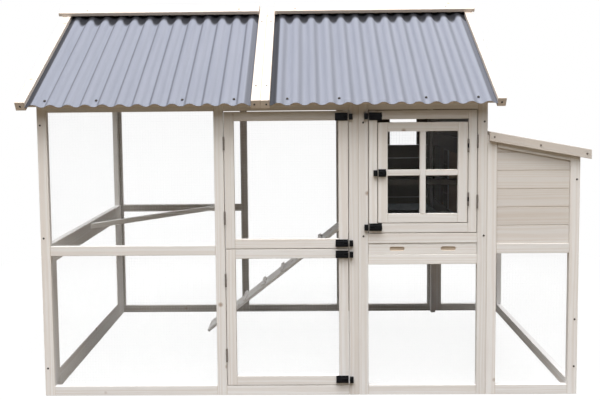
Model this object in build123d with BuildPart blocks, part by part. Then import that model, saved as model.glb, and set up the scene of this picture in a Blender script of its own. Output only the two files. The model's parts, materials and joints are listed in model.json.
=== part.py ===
"""Hen house: a timber house on legs with a wire run, a nest bay and a corrugated gable roof.

Millimetres. +X runs to the right along the front, +Y into the depth and +Z up. The origin lies on the
ground under the middle of the whole length and depth. Every timber, board and fitting is its own solid.
"""
import os
from math import atan, cos, degrees, radians, sin, tan

from build123d import *

os.makedirs("parts", exist_ok=True)

# Overall sizes
DEPTH = 1500.0
RUN_LENGTH = 1432.0
HOUSE_LENGTH = 572.0
NEST_LENGTH = 410.0
WALL_HEIGHT = 1335.0

# Timber sections and fits
STILE = 43.0
TIMBER = 28.0
SIDE_BOTTOM_RAIL = 50.0
BUTT = 0.2
DOOR_GAP = 3.0

# Heights of the rails, each given by its lower edge
MID_RAIL_Z = 646.0
FLOOR_RAIL_Z = 599.0
FLOOR_RAIL_HEIGHT = 44.0
DRAWER_HEIGHT = 52.0
DOOR_RAIL_HEIGHT = 44.0

# Run front: the post between the fixed bay and the door bay
POST_X = 788.5
DOOR_SPLIT_Z = 672.5

# Boards
BOARD_PITCH = 82.0
BOARD_GAP = 0.8
BOARD = 11.0
BOARD_SET_IN = 8.0

# Wire netting, one coarse net of flat wires for each bay
NET_LAYER = 0.95
NET_WELD_GAP = 0.1
NET = 2 * NET_LAYER + NET_WELD_GAP
NET_WIRE = 3.0
NET_PITCH = 78.0
NET_LAP = 7.0

# Run doors
DOOR_STILE = 43.0
DOOR_TOP_RAIL = 42.0

# House door and its window sash
HOUSE_DOOR_STILE = 38.0
HOUSE_DOOR_TOP_RAIL = 39.5
HOUSE_DOOR_BOTTOM_RAIL = 42.0
SASH_TOP_GAP = 14.0
SASH_STILE = 43.0
SASH_RAIL = 40.0
SASH_THICKNESS = 22.0
GLAZING_BAR = 26.0
PANE = 1.5
PANE_LAP = 8.0
SASH_NET_PITCH = 38.0

# Butt hinges
HINGE_HEIGHT = 60.0
HINGE_RADIUS = 4.0
HINGE_PIN_RADIUS = 1.5
PIN_CLEARANCE = 0.08
KNUCKLE_GAP = 0.6
MIDDLE_KNUCKLE = 20.0
LEAF = 1.0
LEAF_WIDTH = 22.0
HINGE_STAND_OFF = 4.3
HINGE_INSET = 140.0
SASH_HINGE_INSET = 105.0
LID_LEAF_WIDTH = 26.0

# Slide bolts
BOLT_RADIUS = 4.2
BOLT_CLEARANCE = 0.1
BOLT_TRAVEL = 16.0
BOLT_INSET = 3.0
CASE_LENGTH = 56.0
SASH_CASE_LENGTH = 34.0
CASE_HEIGHT = 34.0
CASE_PLATE = 2.0
BARREL_HEIGHT = 18.0
BARREL_DEPTH = 14.0
KEEPER_LENGTH = 16.0
KEEPER_HEIGHT = 26.0
LATCH_EDGE = 1.5
KNOB_RADIUS = 3.0
KNOB_REACH = 21.0
KNOB_SLOT_CLEARANCE = 0.5
LATCH_INSET = 26.0
LOWER_LATCH_INSET = 25.0

# Roof
PITCH = 30.5
RAFTER = 21.0
RAFTER_WIDTH = 43.0
ROOF_SEAT = 0.2
EAVE_OVERHANG = 75.0
EAVE_RAIL_SET_BACK = 40.0
RAFTER_TAIL = 12.0
RUN_BARGE_OVERHANG = 72.0
HOUSE_BARGE_OVERHANG = 65.0
SHEET_OVERHANG = 27.0
WAVE_PITCH = 76.0
WAVE_DEPTH = 18.0
WAVES = 13
SHEET = 1.2
SHEET_SEAT = 0.3
SHEET_RIDGE_GAP = 30.0
RIDGE_OVERHANG = 90.0
HOUSE_RIDGE_OVERHANG = 78.0
RIDGE_BOARD_WIDTH = 74.0
RIDGE_BOARD = 18.0
RIDGE_SEAT = 0.3

# Nest bay
NEST_TOP_RAIL = 50.0
LID_BELOW_TOP = 141.0
LID_TOP_Z = WALL_HEIGHT - LID_BELOW_TOP
LID_DROP = 85.0
LID_REACH = 43.0
LID_SIDE_REACH = 20.0
LID = 15.0
LID_WALL_GAP = 6.0
FASCIA_HEIGHT = 42.0
FASCIA = 18.0
LID_SEAT = 1.0
NEST_HEAD_RAIL = 46.0
NEST_FLOOR = 12.0
DIVIDER = 12.0
DIVIDER_LID_GAP = 6.0
NESTS = 3
NEST_HOLE_WIDTH = 330.0

# House inside and its openings
HEN_HOLE_SILL_BOARDS = 1
HEN_HOLE_BOARDS = 4
POP_HOLE_WIDTH = 260.0
POP_HOLE_Y = 370.0
VENT_WIDTH = 166.0
VENT_BOARDS = 2
VENT_X = 293.0
VENT_SILL_BOARDS = 5
ROOST_HEIGHT = 28.0
ROOST_WIDTH = 44.0
ROOST_Z = 900.0
ROOST_SPREAD = 207.0

# Dropping tray and the drawer front that carries it
RUNNER_WIDTH = 40.0
RUNNER_HEIGHT = 26.0
TRAY_CLEARANCE = 0.4
TRAY_SIDE_GAP = 2.0
TRAY_WALL = 1.5
TRAY_HEIGHT = 42.0
TRAY_BACK_GAP = 6.0
DRAWER_FRONT = 15.0
DRAWER_GAP = 1.2
SLOT_LENGTH = 66.0
SLOT_HEIGHT = 18.0
SLOT_DEPTH = 10.0
SLOT_SPACING = 229.0

# Ramp and perch in the run
RAMP_FOOT = 628.0
RAMP_RISE = 640.0
RAMP_WIDTH = 200.0
RAMP = 15.0
CLEAT_PITCH = 140.0
CLEAT_WIDTH = 20.0
CLEAT_HEIGHT = 12.0
CLEATS = 6
PERCH_REACH = 590.0
PERCH_WIDTH = 28.0
PERCH_HEIGHT = 26.0

# Screw heads
SCREW_RADIUS = 4.5
SCREW_HEIGHT = 2.2
POST_SCREW_INSET = 38.0
POST_SCREW_DROP = 56.0
FOOT_SCREW_RISE = 85.0
NEST_SCREW_DROP = 125.0
FASCIA_SCREW_INSET = 20.0
TAIL_SCREW_SPREAD = 26.0
ROOF_SCREW_RADIUS = 6.0
ROOF_SCREW_HEIGHT = 5.0
ROOF_SCREW_SET_IN = 12.0
WASHER = 0.8
RAFTER_SCREW_RADIUS = 4.0
RAFTER_SCREW_HEIGHT = 1.5
RAFTER_SCREW_SPREAD = 24.0
RAFTER_SCREW_INSETS = (140.0, 150.0)
RIDGE_SCREW_RISE = 27.0
RIDGE_SCREW_INSETS = (146.0, 106.0)

# Places along the length
TOTAL = RIDGE_OVERHANG + RUN_LENGTH + HOUSE_LENGTH + NEST_LENGTH + LID_REACH
RUN_X0 = RIDGE_OVERHANG - TOTAL / 2
RUN_X1 = RUN_X0 + RUN_LENGTH
HOUSE_X1 = RUN_X1 + HOUSE_LENGTH
NEST_X1 = HOUSE_X1 + NEST_LENGTH
POST = (RUN_X0 + POST_X, RUN_X0 + POST_X + STILE)
RUN_BAY = (RUN_X0 + STILE, POST[0])
DOOR_BAY = (POST[1], RUN_X1 - STILE)
HOUSE_BAY = (RUN_X1 + STILE, HOUSE_X1 - STILE)
NEST_BAY = (HOUSE_X1 + STILE, NEST_X1 - STILE)
MIDDLE_X = (RUN_X0 + HOUSE_X1) / 2

# Places across the depth
FRONT = -DEPTH / 2
BACK = DEPTH / 2
FRONT_Y = (FRONT, FRONT + TIMBER)
BACK_Y = (BACK - TIMBER, BACK)
SIDE_Y = (FRONT_Y[1] + BUTT, BACK_Y[0] - BUTT)
SIDE_BAY = (SIDE_Y[0] + STILE, SIDE_Y[1] - STILE)

# Heights
BOTTOM_RAIL = (0.0, STILE)
MID_RAIL = (MID_RAIL_Z, MID_RAIL_Z + STILE)
TOP_RAIL = (WALL_HEIGHT - STILE, WALL_HEIGHT)
FLOOR_RAIL = (FLOOR_RAIL_Z, FLOOR_RAIL_Z + FLOOR_RAIL_HEIGHT)
DRAWER_Z = (FLOOR_RAIL[1], FLOOR_RAIL[1] + DRAWER_HEIGHT)
DOOR_RAIL = (DRAWER_Z[1], DRAWER_Z[1] + DOOR_RAIL_HEIGHT)
FULL = (0.0, WALL_HEIGHT)

# Nest lid: a slope that falls to the right
LID_SPAN = NEST_LENGTH + LID_REACH
LID_SLOPE = LID_DROP / LID_SPAN
LID_ANGLE = atan(LID_SLOPE)
LID_UNDER_Z = LID_TOP_Z - LID / cos(LID_ANGLE) - LID_SEAT


def lid_under(x):
    """Height of the nest walls' sloping top at a place along the length."""
    return LID_UNDER_Z - (x - HOUSE_X1) * LID_SLOPE


def slab(x, y, z):
    """Add one box between the low and high ends of three ranges."""
    with Locations(((x[0] + x[1]) / 2, (y[0] + y[1]) / 2, (z[0] + z[1]) / 2)):
        Box(x[1] - x[0], y[1] - y[0], z[1] - z[0])


def cut_slab(x, y, z):
    """Cut one box between the low and high ends of three ranges."""
    with Locations(((x[0] + x[1]) / 2, (y[0] + y[1]) / 2, (z[0] + z[1]) / 2)):
        Box(x[1] - x[0], y[1] - y[0], z[1] - z[0], mode=Mode.SUBTRACT)


def shrink(span, by):
    """A range drawn in by the same amount at both ends."""
    return (span[0] + by, span[1] - by)


def rails_along(bay, y, heights):
    """Rails that run along the length between two stiles."""
    for z in heights:
        slab(shrink(bay, BUTT), y, z)


def rails_across(bay, x, heights):
    """Rails that run across the depth between two stiles."""
    for z in heights:
        slab(x, shrink(bay, BUTT), z)


def long_prism(points, x):
    """A prism along the length from an outline in depth and height."""
    with BuildSketch(Plane.YZ.offset(x[0])) as outline:
        Polygon(*points, align=None)
    extrude(outline.sketch, amount=x[1] - x[0])


def deep_prism(points, y):
    """A prism across the depth from an outline in length and height."""
    with BuildSketch(Plane.XZ.offset(-y[1])) as outline:
        Polygon(*points, align=None)
    extrude(outline.sketch, amount=y[1] - y[0])


def wire_places(length, pitch):
    """Middles of a net's wires along one of its sides, counted from the net's middle."""
    count = max(1, round(length / pitch))
    step = (length - NET_WIRE) / count
    return [(i - count / 2) * step for i in range(count + 1)]


def net_along(bay, y, z, lap=NET_LAP, pitch=NET_PITCH):
    """A net that covers a bay of the front or the back, with its upright wires nearer the front."""
    width = bay[1] - bay[0] + 2 * lap
    height = z[1] - z[0] + 2 * lap
    middle = ((bay[0] + bay[1]) / 2, (z[0] + z[1]) / 2)
    near, far = y[0] + NET_LAYER / 2, y[1] - NET_LAYER / 2
    with Locations(*[(middle[0] + place, near, middle[1]) for place in wire_places(width, pitch)]):
        Box(NET_WIRE, NET_LAYER, height)
    with Locations(*[(middle[0], far, middle[1] + place) for place in wire_places(height, pitch)]):
        Box(width, NET_LAYER, NET_WIRE)


def net_across(bay, x, z):
    """A net that covers a bay of a side wall, with its upright wires nearer the left."""
    width = bay[1] - bay[0] + 2 * NET_LAP
    height = z[1] - z[0] + 2 * NET_LAP
    middle = ((bay[0] + bay[1]) / 2, (z[0] + z[1]) / 2)
    near, far = x[0] + NET_LAYER / 2, x[1] - NET_LAYER / 2
    with Locations(*[(near, middle[0] + place, middle[1]) for place in wire_places(width, NET_PITCH)]):
        Box(NET_LAYER, NET_WIRE, height)
    with Locations(*[(far, middle[0], middle[1] + place) for place in wire_places(height, NET_PITCH)]):
        Box(NET_LAYER, width, NET_WIRE)


def board_heights(low, high):
    """The height ranges of boards stacked from a sill, the last one trimmed."""
    count = int((high - low) / BOARD_PITCH) + 1
    tops = [min(low + (i + 1) * BOARD_PITCH, high) for i in range(count)]
    return [(low + i * BOARD_PITCH + BOARD_GAP / 2, top - BOARD_GAP / 2) for i, top in enumerate(tops)]


def board_hole(sill, boards):
    """The height range of a hole in a house wall, from one board joint to another."""
    low = FLOOR_RAIL[1] + sill * BOARD_PITCH
    return (low, low + boards * BOARD_PITCH)


def boards_along(bay, y, z):
    """Horizontal boards between two stiles of the front or the back."""
    for height in board_heights(*z):
        slab(shrink(bay, BUTT), y, height)


def boards_across(bay, x, z):
    """Horizontal boards between two stiles of a side wall."""
    for height in board_heights(*z):
        slab(x, shrink(bay, BUTT), height)


def save(builder, name):
    """Label a finished piece and write it."""
    builder.part.label = name
    export_step(builder.part, f"parts/{name}.step")


# Run frames
with BuildPart() as run_front_frame:
    for left in (RUN_X0, POST[0], RUN_X1 - STILE):
        slab((left, left + STILE), FRONT_Y, FULL)
    rails_along(RUN_BAY, FRONT_Y, (BOTTOM_RAIL, MID_RAIL, TOP_RAIL))
    rails_along(DOOR_BAY, FRONT_Y, (BOTTOM_RAIL, TOP_RAIL))
save(run_front_frame, "run_front_frame")

with BuildPart() as run_back_frame:
    for left in (RUN_X0, POST[0], RUN_X1 - STILE):
        slab((left, left + STILE), BACK_Y, FULL)
    rails_along(RUN_BAY, BACK_Y, (BOTTOM_RAIL, MID_RAIL, TOP_RAIL))
    rails_along(DOOR_BAY, BACK_Y, (BOTTOM_RAIL, TOP_RAIL))
save(run_back_frame, "run_back_frame")

RUN_SIDE_X = (RUN_X0, RUN_X0 + TIMBER)
SIDE_BOTTOM = (0.0, SIDE_BOTTOM_RAIL)
with BuildPart() as run_left_frame:
    for near in (SIDE_Y[0], SIDE_Y[1] - STILE):
        slab(RUN_SIDE_X, (near, near + STILE), FULL)
    rails_across(SIDE_BAY, RUN_SIDE_X, (SIDE_BOTTOM, MID_RAIL, TOP_RAIL))
save(run_left_frame, "run_left_frame")

# House frames, the side ones with the runners that carry the dropping tray
with BuildPart() as house_front_frame:
    for left in (RUN_X1 + BUTT, HOUSE_X1 - STILE):
        slab((left, left + STILE - BUTT), FRONT_Y, FULL)
    rails_along(HOUSE_BAY, FRONT_Y, (BOTTOM_RAIL, FLOOR_RAIL, DOOR_RAIL, TOP_RAIL))
save(house_front_frame, "house_front_frame")

with BuildPart() as house_back_frame:
    for left in (RUN_X1 + BUTT, HOUSE_X1 - STILE):
        slab((left, left + STILE - BUTT), BACK_Y, FULL)
    rails_along(HOUSE_BAY, BACK_Y, (BOTTOM_RAIL, FLOOR_RAIL, TOP_RAIL))
save(house_back_frame, "house_back_frame")

HOUSE_LEFT_X = (RUN_X1, RUN_X1 + TIMBER)
HOUSE_RIGHT_X = (HOUSE_X1 - TIMBER, HOUSE_X1)
HEAD_RAIL = (LID_TOP_Z, LID_TOP_Z + NEST_HEAD_RAIL)
RUNNER_Z = (FLOOR_RAIL[1] - RUNNER_HEIGHT, FLOOR_RAIL[1])
LEFT_RUNNER_X = (HOUSE_LEFT_X[1] + BUTT, HOUSE_LEFT_X[1] + BUTT + RUNNER_WIDTH)
RIGHT_RUNNER_X = (HOUSE_RIGHT_X[0] - BUTT - RUNNER_WIDTH, HOUSE_RIGHT_X[0] - BUTT)
with BuildPart() as house_left_frame:
    for near in (SIDE_Y[0], SIDE_Y[1] - STILE):
        slab(HOUSE_LEFT_X, (near, near + STILE), FULL)
    rails_across(SIDE_BAY, HOUSE_LEFT_X, (FLOOR_RAIL, TOP_RAIL))
    slab(LEFT_RUNNER_X, SIDE_Y, RUNNER_Z)
save(house_left_frame, "house_left_frame")

with BuildPart() as house_right_frame:
    for near in (SIDE_Y[0], SIDE_Y[1] - STILE):
        slab(HOUSE_RIGHT_X, (near, near + STILE), FULL)
    rails_across(SIDE_BAY, HOUSE_RIGHT_X, (FLOOR_RAIL, HEAD_RAIL, TOP_RAIL))
    slab(RIGHT_RUNNER_X, SIDE_Y, RUNNER_Z)
save(house_right_frame, "house_right_frame")

# Nest frames, with tops that follow the lid
NEST_STILES = ((HOUSE_X1 + BUTT, HOUSE_X1 + STILE), (NEST_X1 - STILE, NEST_X1))


def nest_end_frame(y):
    """One end wall frame of the nest bay."""
    for x in NEST_STILES:
        deep_prism([(x[0], 0), (x[1], 0), (x[1], lid_under(x[1])), (x[0], lid_under(x[0]))], y)
    rails_along(NEST_BAY, y, (BOTTOM_RAIL, MID_RAIL))
    x = shrink(NEST_BAY, BUTT)
    top = [(x[0], lid_under(x[0])), (x[1], lid_under(x[1]))]
    deep_prism(top + [(px, pz - NEST_TOP_RAIL) for px, pz in reversed(top)], y)


with BuildPart() as nest_front_frame:
    nest_end_frame(FRONT_Y)
save(nest_front_frame, "nest_front_frame")

with BuildPart() as nest_back_frame:
    nest_end_frame(BACK_Y)
save(nest_back_frame, "nest_back_frame")

NEST_SIDE_X = (NEST_X1 - TIMBER, NEST_X1)
NEST_SIDE_TOP = lid_under(NEST_X1)
with BuildPart() as nest_side_frame:
    for near in (SIDE_Y[0], SIDE_Y[1] - STILE):
        slab(NEST_SIDE_X, (near, near + STILE), (0, NEST_SIDE_TOP))
    rails_across(SIDE_BAY, NEST_SIDE_X, (SIDE_BOTTOM, MID_RAIL, (NEST_SIDE_TOP - STILE, NEST_SIDE_TOP)))
save(nest_side_frame, "nest_side_frame")

# Roof planes: the rafters lie on the wall tops and the sheets lie on the rafters
SLOPE = radians(PITCH)
RAFTER_UNDER_Z = WALL_HEIGHT + ROOF_SEAT
RAFTER_TOP_Z = RAFTER_UNDER_Z + RAFTER / cos(SLOPE)
EAVE_Y = FRONT - EAVE_OVERHANG
EAVE_Z = RAFTER_TOP_Z - EAVE_OVERHANG * tan(SLOPE)
SLOPE_LENGTH = -EAVE_Y / cos(SLOPE)
RAFTER_END = SLOPE_LENGTH - RAFTER * tan(SLOPE) - BUTT
ROOF_PLANE = Plane(origin=(0, EAVE_Y, EAVE_Z), x_dir=(1, 0, 0), z_dir=(0, -sin(SLOPE), cos(SLOPE)))
GABLE_RAFTERS = (RUN_X0, HOUSE_X1 - RAFTER_WIDTH)
SHEET_WIDTH = WAVES * WAVE_PITCH
SHEET_STARTS = (RUN_X0 - SHEET_OVERHANG, HOUSE_X1 + SHEET_OVERHANG - SHEET_WIDTH)
SHEET_ENDS = tuple(start + SHEET_WIDTH for start in SHEET_STARTS)
CREST_HEIGHT = SHEET_SEAT + WAVE_DEPTH + SHEET


# Gables under the rafters
GABLE_RISE = DEPTH / 2 * tan(SLOPE)


def gable_half(height):
    """Half the width of the gable at a height above the wall top."""
    return (GABLE_RISE - height) / tan(SLOPE)


def gable_boards(x):
    """Boards that fill a gable above a side wall."""
    for low, high in board_heights(BUTT, GABLE_RISE - BOARD_PITCH / 2):
        wide, narrow = gable_half(low), gable_half(high)
        base = [(-wide, WALL_HEIGHT + low), (wide, WALL_HEIGHT + low)]
        long_prism(base + [(narrow, WALL_HEIGHT + high), (-narrow, WALL_HEIGHT + high)], x)


def gable_net(x):
    """A net that fills the gable above the run's end wall, each wire as long as the slope leaves it."""
    near, far = (x[0], x[0] + NET_LAYER), (x[1] - NET_LAYER, x[1])
    base = 2 * (gable_half(BUTT) - NET_PITCH)
    for place in wire_places(base, NET_PITCH):
        top = GABLE_RISE - (abs(place) + NET_WIRE / 2) * tan(SLOPE)
        slab(near, (place - NET_WIRE / 2, place + NET_WIRE / 2), (WALL_HEIGHT + BUTT, WALL_HEIGHT + top))
    rise = GABLE_RISE - NET_PITCH * tan(SLOPE) - BUTT
    for place in wire_places(rise, NET_PITCH):
        low = BUTT + rise / 2 + place - NET_WIRE / 2
        half = gable_half(low + NET_WIRE)
        slab(far, (-half, half), (WALL_HEIGHT + low, WALL_HEIGHT + low + NET_WIRE))


# Wall boards
HOUSE_WALL_Z = (FLOOR_RAIL[1], TOP_RAIL[0])
BACK_BOARD_Y = (BACK - BOARD_SET_IN - BOARD, BACK - BOARD_SET_IN)
VENT = (RUN_X1 + VENT_X, RUN_X1 + VENT_X + VENT_WIDTH)
VENT_Z = board_hole(VENT_SILL_BOARDS, VENT_BOARDS)
with BuildPart() as house_back_boards:
    boards_along(HOUSE_BAY, BACK_BOARD_Y, HOUSE_WALL_Z)
    cut_slab(VENT, BACK_BOARD_Y, VENT_Z)
save(house_back_boards, "house_back_boards")

LEFT_BOARD_X = (RUN_X1 + BOARD_SET_IN, RUN_X1 + BOARD_SET_IN + BOARD)
HEN_HOLE_Z = board_hole(HEN_HOLE_SILL_BOARDS, HEN_HOLE_BOARDS)
POP_HOLE = (POP_HOLE_Y - POP_HOLE_WIDTH / 2, POP_HOLE_Y + POP_HOLE_WIDTH / 2)
with BuildPart() as house_left_boards:
    boards_across(SIDE_BAY, LEFT_BOARD_X, HOUSE_WALL_Z)
    cut_slab(LEFT_BOARD_X, POP_HOLE, HEN_HOLE_Z)
    gable_boards(LEFT_BOARD_X)
save(house_left_boards, "house_left_boards")

RIGHT_BOARD_X = (HOUSE_X1 - BOARD_SET_IN - BOARD, HOUSE_X1 - BOARD_SET_IN)
NEST_STEP = (SIDE_BAY[1] - SIDE_BAY[0]) / NESTS
NEST_MIDDLES = [SIDE_BAY[0] + NEST_STEP * (i + 0.5) for i in range(NESTS)]
with BuildPart() as house_right_boards:
    boards_across(SIDE_BAY, RIGHT_BOARD_X, (FLOOR_RAIL[1], HEAD_RAIL[0]))
    boards_across(SIDE_BAY, RIGHT_BOARD_X, (HEAD_RAIL[1], TOP_RAIL[0]))
    for middle in NEST_MIDDLES:
        hole = (middle - NEST_HOLE_WIDTH / 2, middle + NEST_HOLE_WIDTH / 2)
        cut_slab(RIGHT_BOARD_X, hole, HEN_HOLE_Z)
    gable_boards(RIGHT_BOARD_X)
save(house_right_boards, "house_right_boards")

NEST_BOARD_Y = (FRONT + BOARD_SET_IN, FRONT + BOARD_SET_IN + BOARD)


def nest_end_boards(y):
    """Boards of one nest end wall, the top ones cut to the slope."""
    x = shrink(NEST_BAY, BUTT)
    top = [lid_under(x[0]) - NEST_TOP_RAIL - BUTT, lid_under(x[1]) - NEST_TOP_RAIL - BUTT]
    for low, high in board_heights(MID_RAIL[1], top[0]):
        if high <= top[1]:
            slab(x, y, (low, high))
        elif low < top[1]:
            meet = min(x[1], x[0] + (top[0] - high) / LID_SLOPE)
            deep_prism([(x[0], low), (x[1], low), (x[1], top[1]), (meet, high), (x[0], high)], y)
        else:
            end = x[0] + (top[0] - low) / LID_SLOPE
            meet = max(x[0] + BOARD_GAP, x[0] + (top[0] - high) / LID_SLOPE)
            deep_prism([(x[0], low), (end, low), (meet, high), (x[0], high)], y)


NEST_SIDE_BOARD_X = (NEST_X1 - BOARD_SET_IN - BOARD, NEST_X1 - BOARD_SET_IN)
with BuildPart() as nest_boards:
    nest_end_boards(NEST_BOARD_Y)
    nest_end_boards(BACK_BOARD_Y)
    boards_across(SIDE_BAY, NEST_SIDE_BOARD_X, (MID_RAIL[1], NEST_SIDE_TOP - STILE))
save(nest_boards, "nest_boards")

# Roof frame: deep rafters beside the sheets, and battens under them between those rafters
def on_slope(along, rise):
    """Depth and height of a point of the front slope: its place up the slope, its rise off the battens."""
    return EAVE_Y + along * cos(SLOPE) - rise * sin(SLOPE), EAVE_Z + along * sin(SLOPE) + rise * cos(SLOPE)


def at_ridge(rise):
    """Depth and height where a plane over the battens reaches the plumb cut at the ridge."""
    return -BUTT / 2, EAVE_Z - (EAVE_Y + BUTT / 2) * tan(SLOPE) + rise / cos(SLOPE)


def slope_prism(along, rises, x):
    """A timber that runs up to the ridge: its foot, its lower and upper faces and its length range."""
    low, high = rises
    long_prism([on_slope(along, low), on_slope(along, high), at_ridge(high), at_ridge(low)], x)


def roof_bar(x, along):
    """A batten of the roof frame: its length range and its range up the slope."""
    with BuildSketch(ROOF_PLANE) as outline:
        with Locations(((x[0] + x[1]) / 2, (along[0] + along[1]) / 2)):
            Rectangle(x[1] - x[0], along[1] - along[0])
    extrude(outline.sketch, amount=-RAFTER)


EAVE_BAR = (EAVE_RAIL_SET_BACK, EAVE_RAIL_SET_BACK + RAFTER_WIDTH)
RIDGE_BAR = (RAFTER_END - RAFTER_WIDTH, RAFTER_END)
RAFTER_SPAN = (EAVE_BAR[1] + BUTT, RIDGE_BAR[0] - BUTT)
BARGES = (
    (RUN_X0 - RUN_BARGE_OVERHANG, SHEET_STARTS[0] - SHEET_SEAT),
    (SHEET_ENDS[1] + SHEET_SEAT, HOUSE_X1 + HOUSE_BARGE_OVERHANG),
)
MIDDLE_RAFTERS = (
    (SHEET_ENDS[0] + SHEET_SEAT, MIDDLE_X - BUTT),
    (MIDDLE_X + BUTT, SHEET_STARTS[1] - SHEET_SEAT),
)
BATTEN_SPANS = (
    (BARGES[0][1] + BUTT, MIDDLE_RAFTERS[0][0] - BUTT),
    (MIDDLE_RAFTERS[1][1] + BUTT, BARGES[1][0] - BUTT),
)
with BuildPart() as roof_frame_front:
    for x in BARGES + MIDDLE_RAFTERS:
        slope_prism(RAFTER_TAIL, (-RAFTER, CREST_HEIGHT), x)
    for x, gable in zip(BATTEN_SPANS, GABLE_RAFTERS):
        roof_bar(x, EAVE_BAR)
        roof_bar(x, RIDGE_BAR)
        for left in (gable, (x[0] + x[1] - RAFTER_WIDTH) / 2):
            roof_bar((left, left + RAFTER_WIDTH), RAFTER_SPAN)
save(roof_frame_front, "roof_frame_front")

with BuildPart() as roof_frame_back:
    add(roof_frame_front.part)
    mirror(about=Plane.XZ, mode=Mode.REPLACE)
save(roof_frame_back, "roof_frame_back")

# Corrugated sheets: waves of equal arcs along the length, drawn up the slope, with both edges in a trough
SHEET_LENGTH = SLOPE_LENGTH - SHEET_RIDGE_GAP


def wave_line(start, rise):
    """Arcs that make the waves of one side of a sheet."""
    half_wave = WAVE_PITCH / 2
    swing = WAVE_DEPTH / 2
    end = start + SHEET_WIDTH
    TangentArc((start, rise - swing), (start + half_wave / 2, rise), tangent=(1, 0))
    for i in range(2 * WAVES - 1):
        left = start + (i + 0.5) * half_wave
        peak = rise + swing if i % 2 == 0 else rise - swing
        ThreePointArc((left, rise), (left + half_wave / 2, peak), (left + half_wave, rise))
    TangentArc((end, rise - swing), (end - half_wave / 2, rise), tangent=(-1, 0))


def sheet_profile(start):
    """The closed outline of a sheet's end."""
    middle = SHEET_SEAT + WAVE_DEPTH / 2
    with BuildLine() as waves:
        wave_line(start, middle)
        wave_line(start, middle + SHEET)
        for x in (start, start + SHEET_WIDTH):
            Line((x, SHEET_SEAT), (x, SHEET_SEAT + SHEET))
    make_face(waves.edges())


SHEET_PLANE = Plane(origin=ROOF_PLANE.origin, x_dir=(1, 0, 0), z_dir=-ROOF_PLANE.y_dir)
for side, start in zip(("left", "right"), SHEET_STARTS):
    with BuildPart() as roof_sheet_front:
        with BuildSketch(SHEET_PLANE):
            sheet_profile(start)
        extrude(amount=-SHEET_LENGTH)
    save(roof_sheet_front, f"roof_sheet_front_{side}")

    with BuildPart() as roof_sheet_back:
        add(roof_sheet_front.part)
        mirror(about=Plane.XZ, mode=Mode.REPLACE)
    save(roof_sheet_back, f"roof_sheet_back_{side}")

# Ridge boards: laid over the sheets' upper ends and the outer rafters, meeting at the ridge
RIDGE_RISES = (CREST_HEIGHT + RIDGE_SEAT, CREST_HEIGHT + RIDGE_SEAT + RIDGE_BOARD)
RIDGE_BOARD_FOOT = SLOPE_LENGTH + RIDGE_RISES[0] * tan(SLOPE) - RIDGE_BOARD_WIDTH
RIDGE_BOARDS_X = (
    (RUN_X0 - RIDGE_OVERHANG, SHEET_ENDS[0]),
    (SHEET_STARTS[1], HOUSE_X1 + HOUSE_RIDGE_OVERHANG),
)
with BuildPart() as ridge_boards:
    for x in RIDGE_BOARDS_X:
        slope_prism(RIDGE_BOARD_FOOT, RIDGE_RISES, x)
    mirror(about=Plane.XZ)
save(ridge_boards, "ridge_boards")

# Nets of the run, the house and the nest bay, stapled to the inside of the frames
FRONT_NET_Y = (FRONT_Y[1], FRONT_Y[1] + NET)
BACK_NET_Y = (BACK_Y[0] - NET, BACK_Y[0])
LOWER_BAY = (BOTTOM_RAIL[1], MID_RAIL[0])
UPPER_BAY = (MID_RAIL[1], TOP_RAIL[0])
UNDER_HOUSE = (BOTTOM_RAIL[1], FLOOR_RAIL[0])
with BuildPart() as run_front_mesh:
    net_along(RUN_BAY, FRONT_NET_Y, LOWER_BAY)
    net_along(RUN_BAY, FRONT_NET_Y, UPPER_BAY)
save(run_front_mesh, "run_front_mesh")

with BuildPart() as run_back_mesh:
    net_along(RUN_BAY, BACK_NET_Y, LOWER_BAY)
    net_along(RUN_BAY, BACK_NET_Y, UPPER_BAY)
    net_along(DOOR_BAY, BACK_NET_Y, (BOTTOM_RAIL[1], TOP_RAIL[0]))
save(run_back_mesh, "run_back_mesh")

RUN_NET_X = (RUN_SIDE_X[1], RUN_SIDE_X[1] + NET)
NEST_NET_X = (NEST_SIDE_X[0] - NET, NEST_SIDE_X[0])
with BuildPart() as run_left_mesh:
    net_across(SIDE_BAY, RUN_NET_X, (SIDE_BOTTOM[1], MID_RAIL[0]))
    net_across(SIDE_BAY, RUN_NET_X, UPPER_BAY)
    gable_net((RUN_SIDE_X[1] - NET, RUN_SIDE_X[1]))
save(run_left_mesh, "run_left_mesh")

VENT_NET_Y = (BACK_BOARD_Y[0] - NET, BACK_BOARD_Y[0])
with BuildPart() as house_and_nest_mesh:
    for y in (FRONT_NET_Y, BACK_NET_Y):
        net_along(HOUSE_BAY, y, UNDER_HOUSE)
        net_along(NEST_BAY, y, LOWER_BAY)
    net_across(SIDE_BAY, NEST_NET_X, (SIDE_BOTTOM[1], MID_RAIL[0]))
    net_along(VENT, VENT_NET_Y, VENT_Z, pitch=SASH_NET_PITCH)
save(house_and_nest_mesh, "house_and_nest_mesh")

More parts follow.
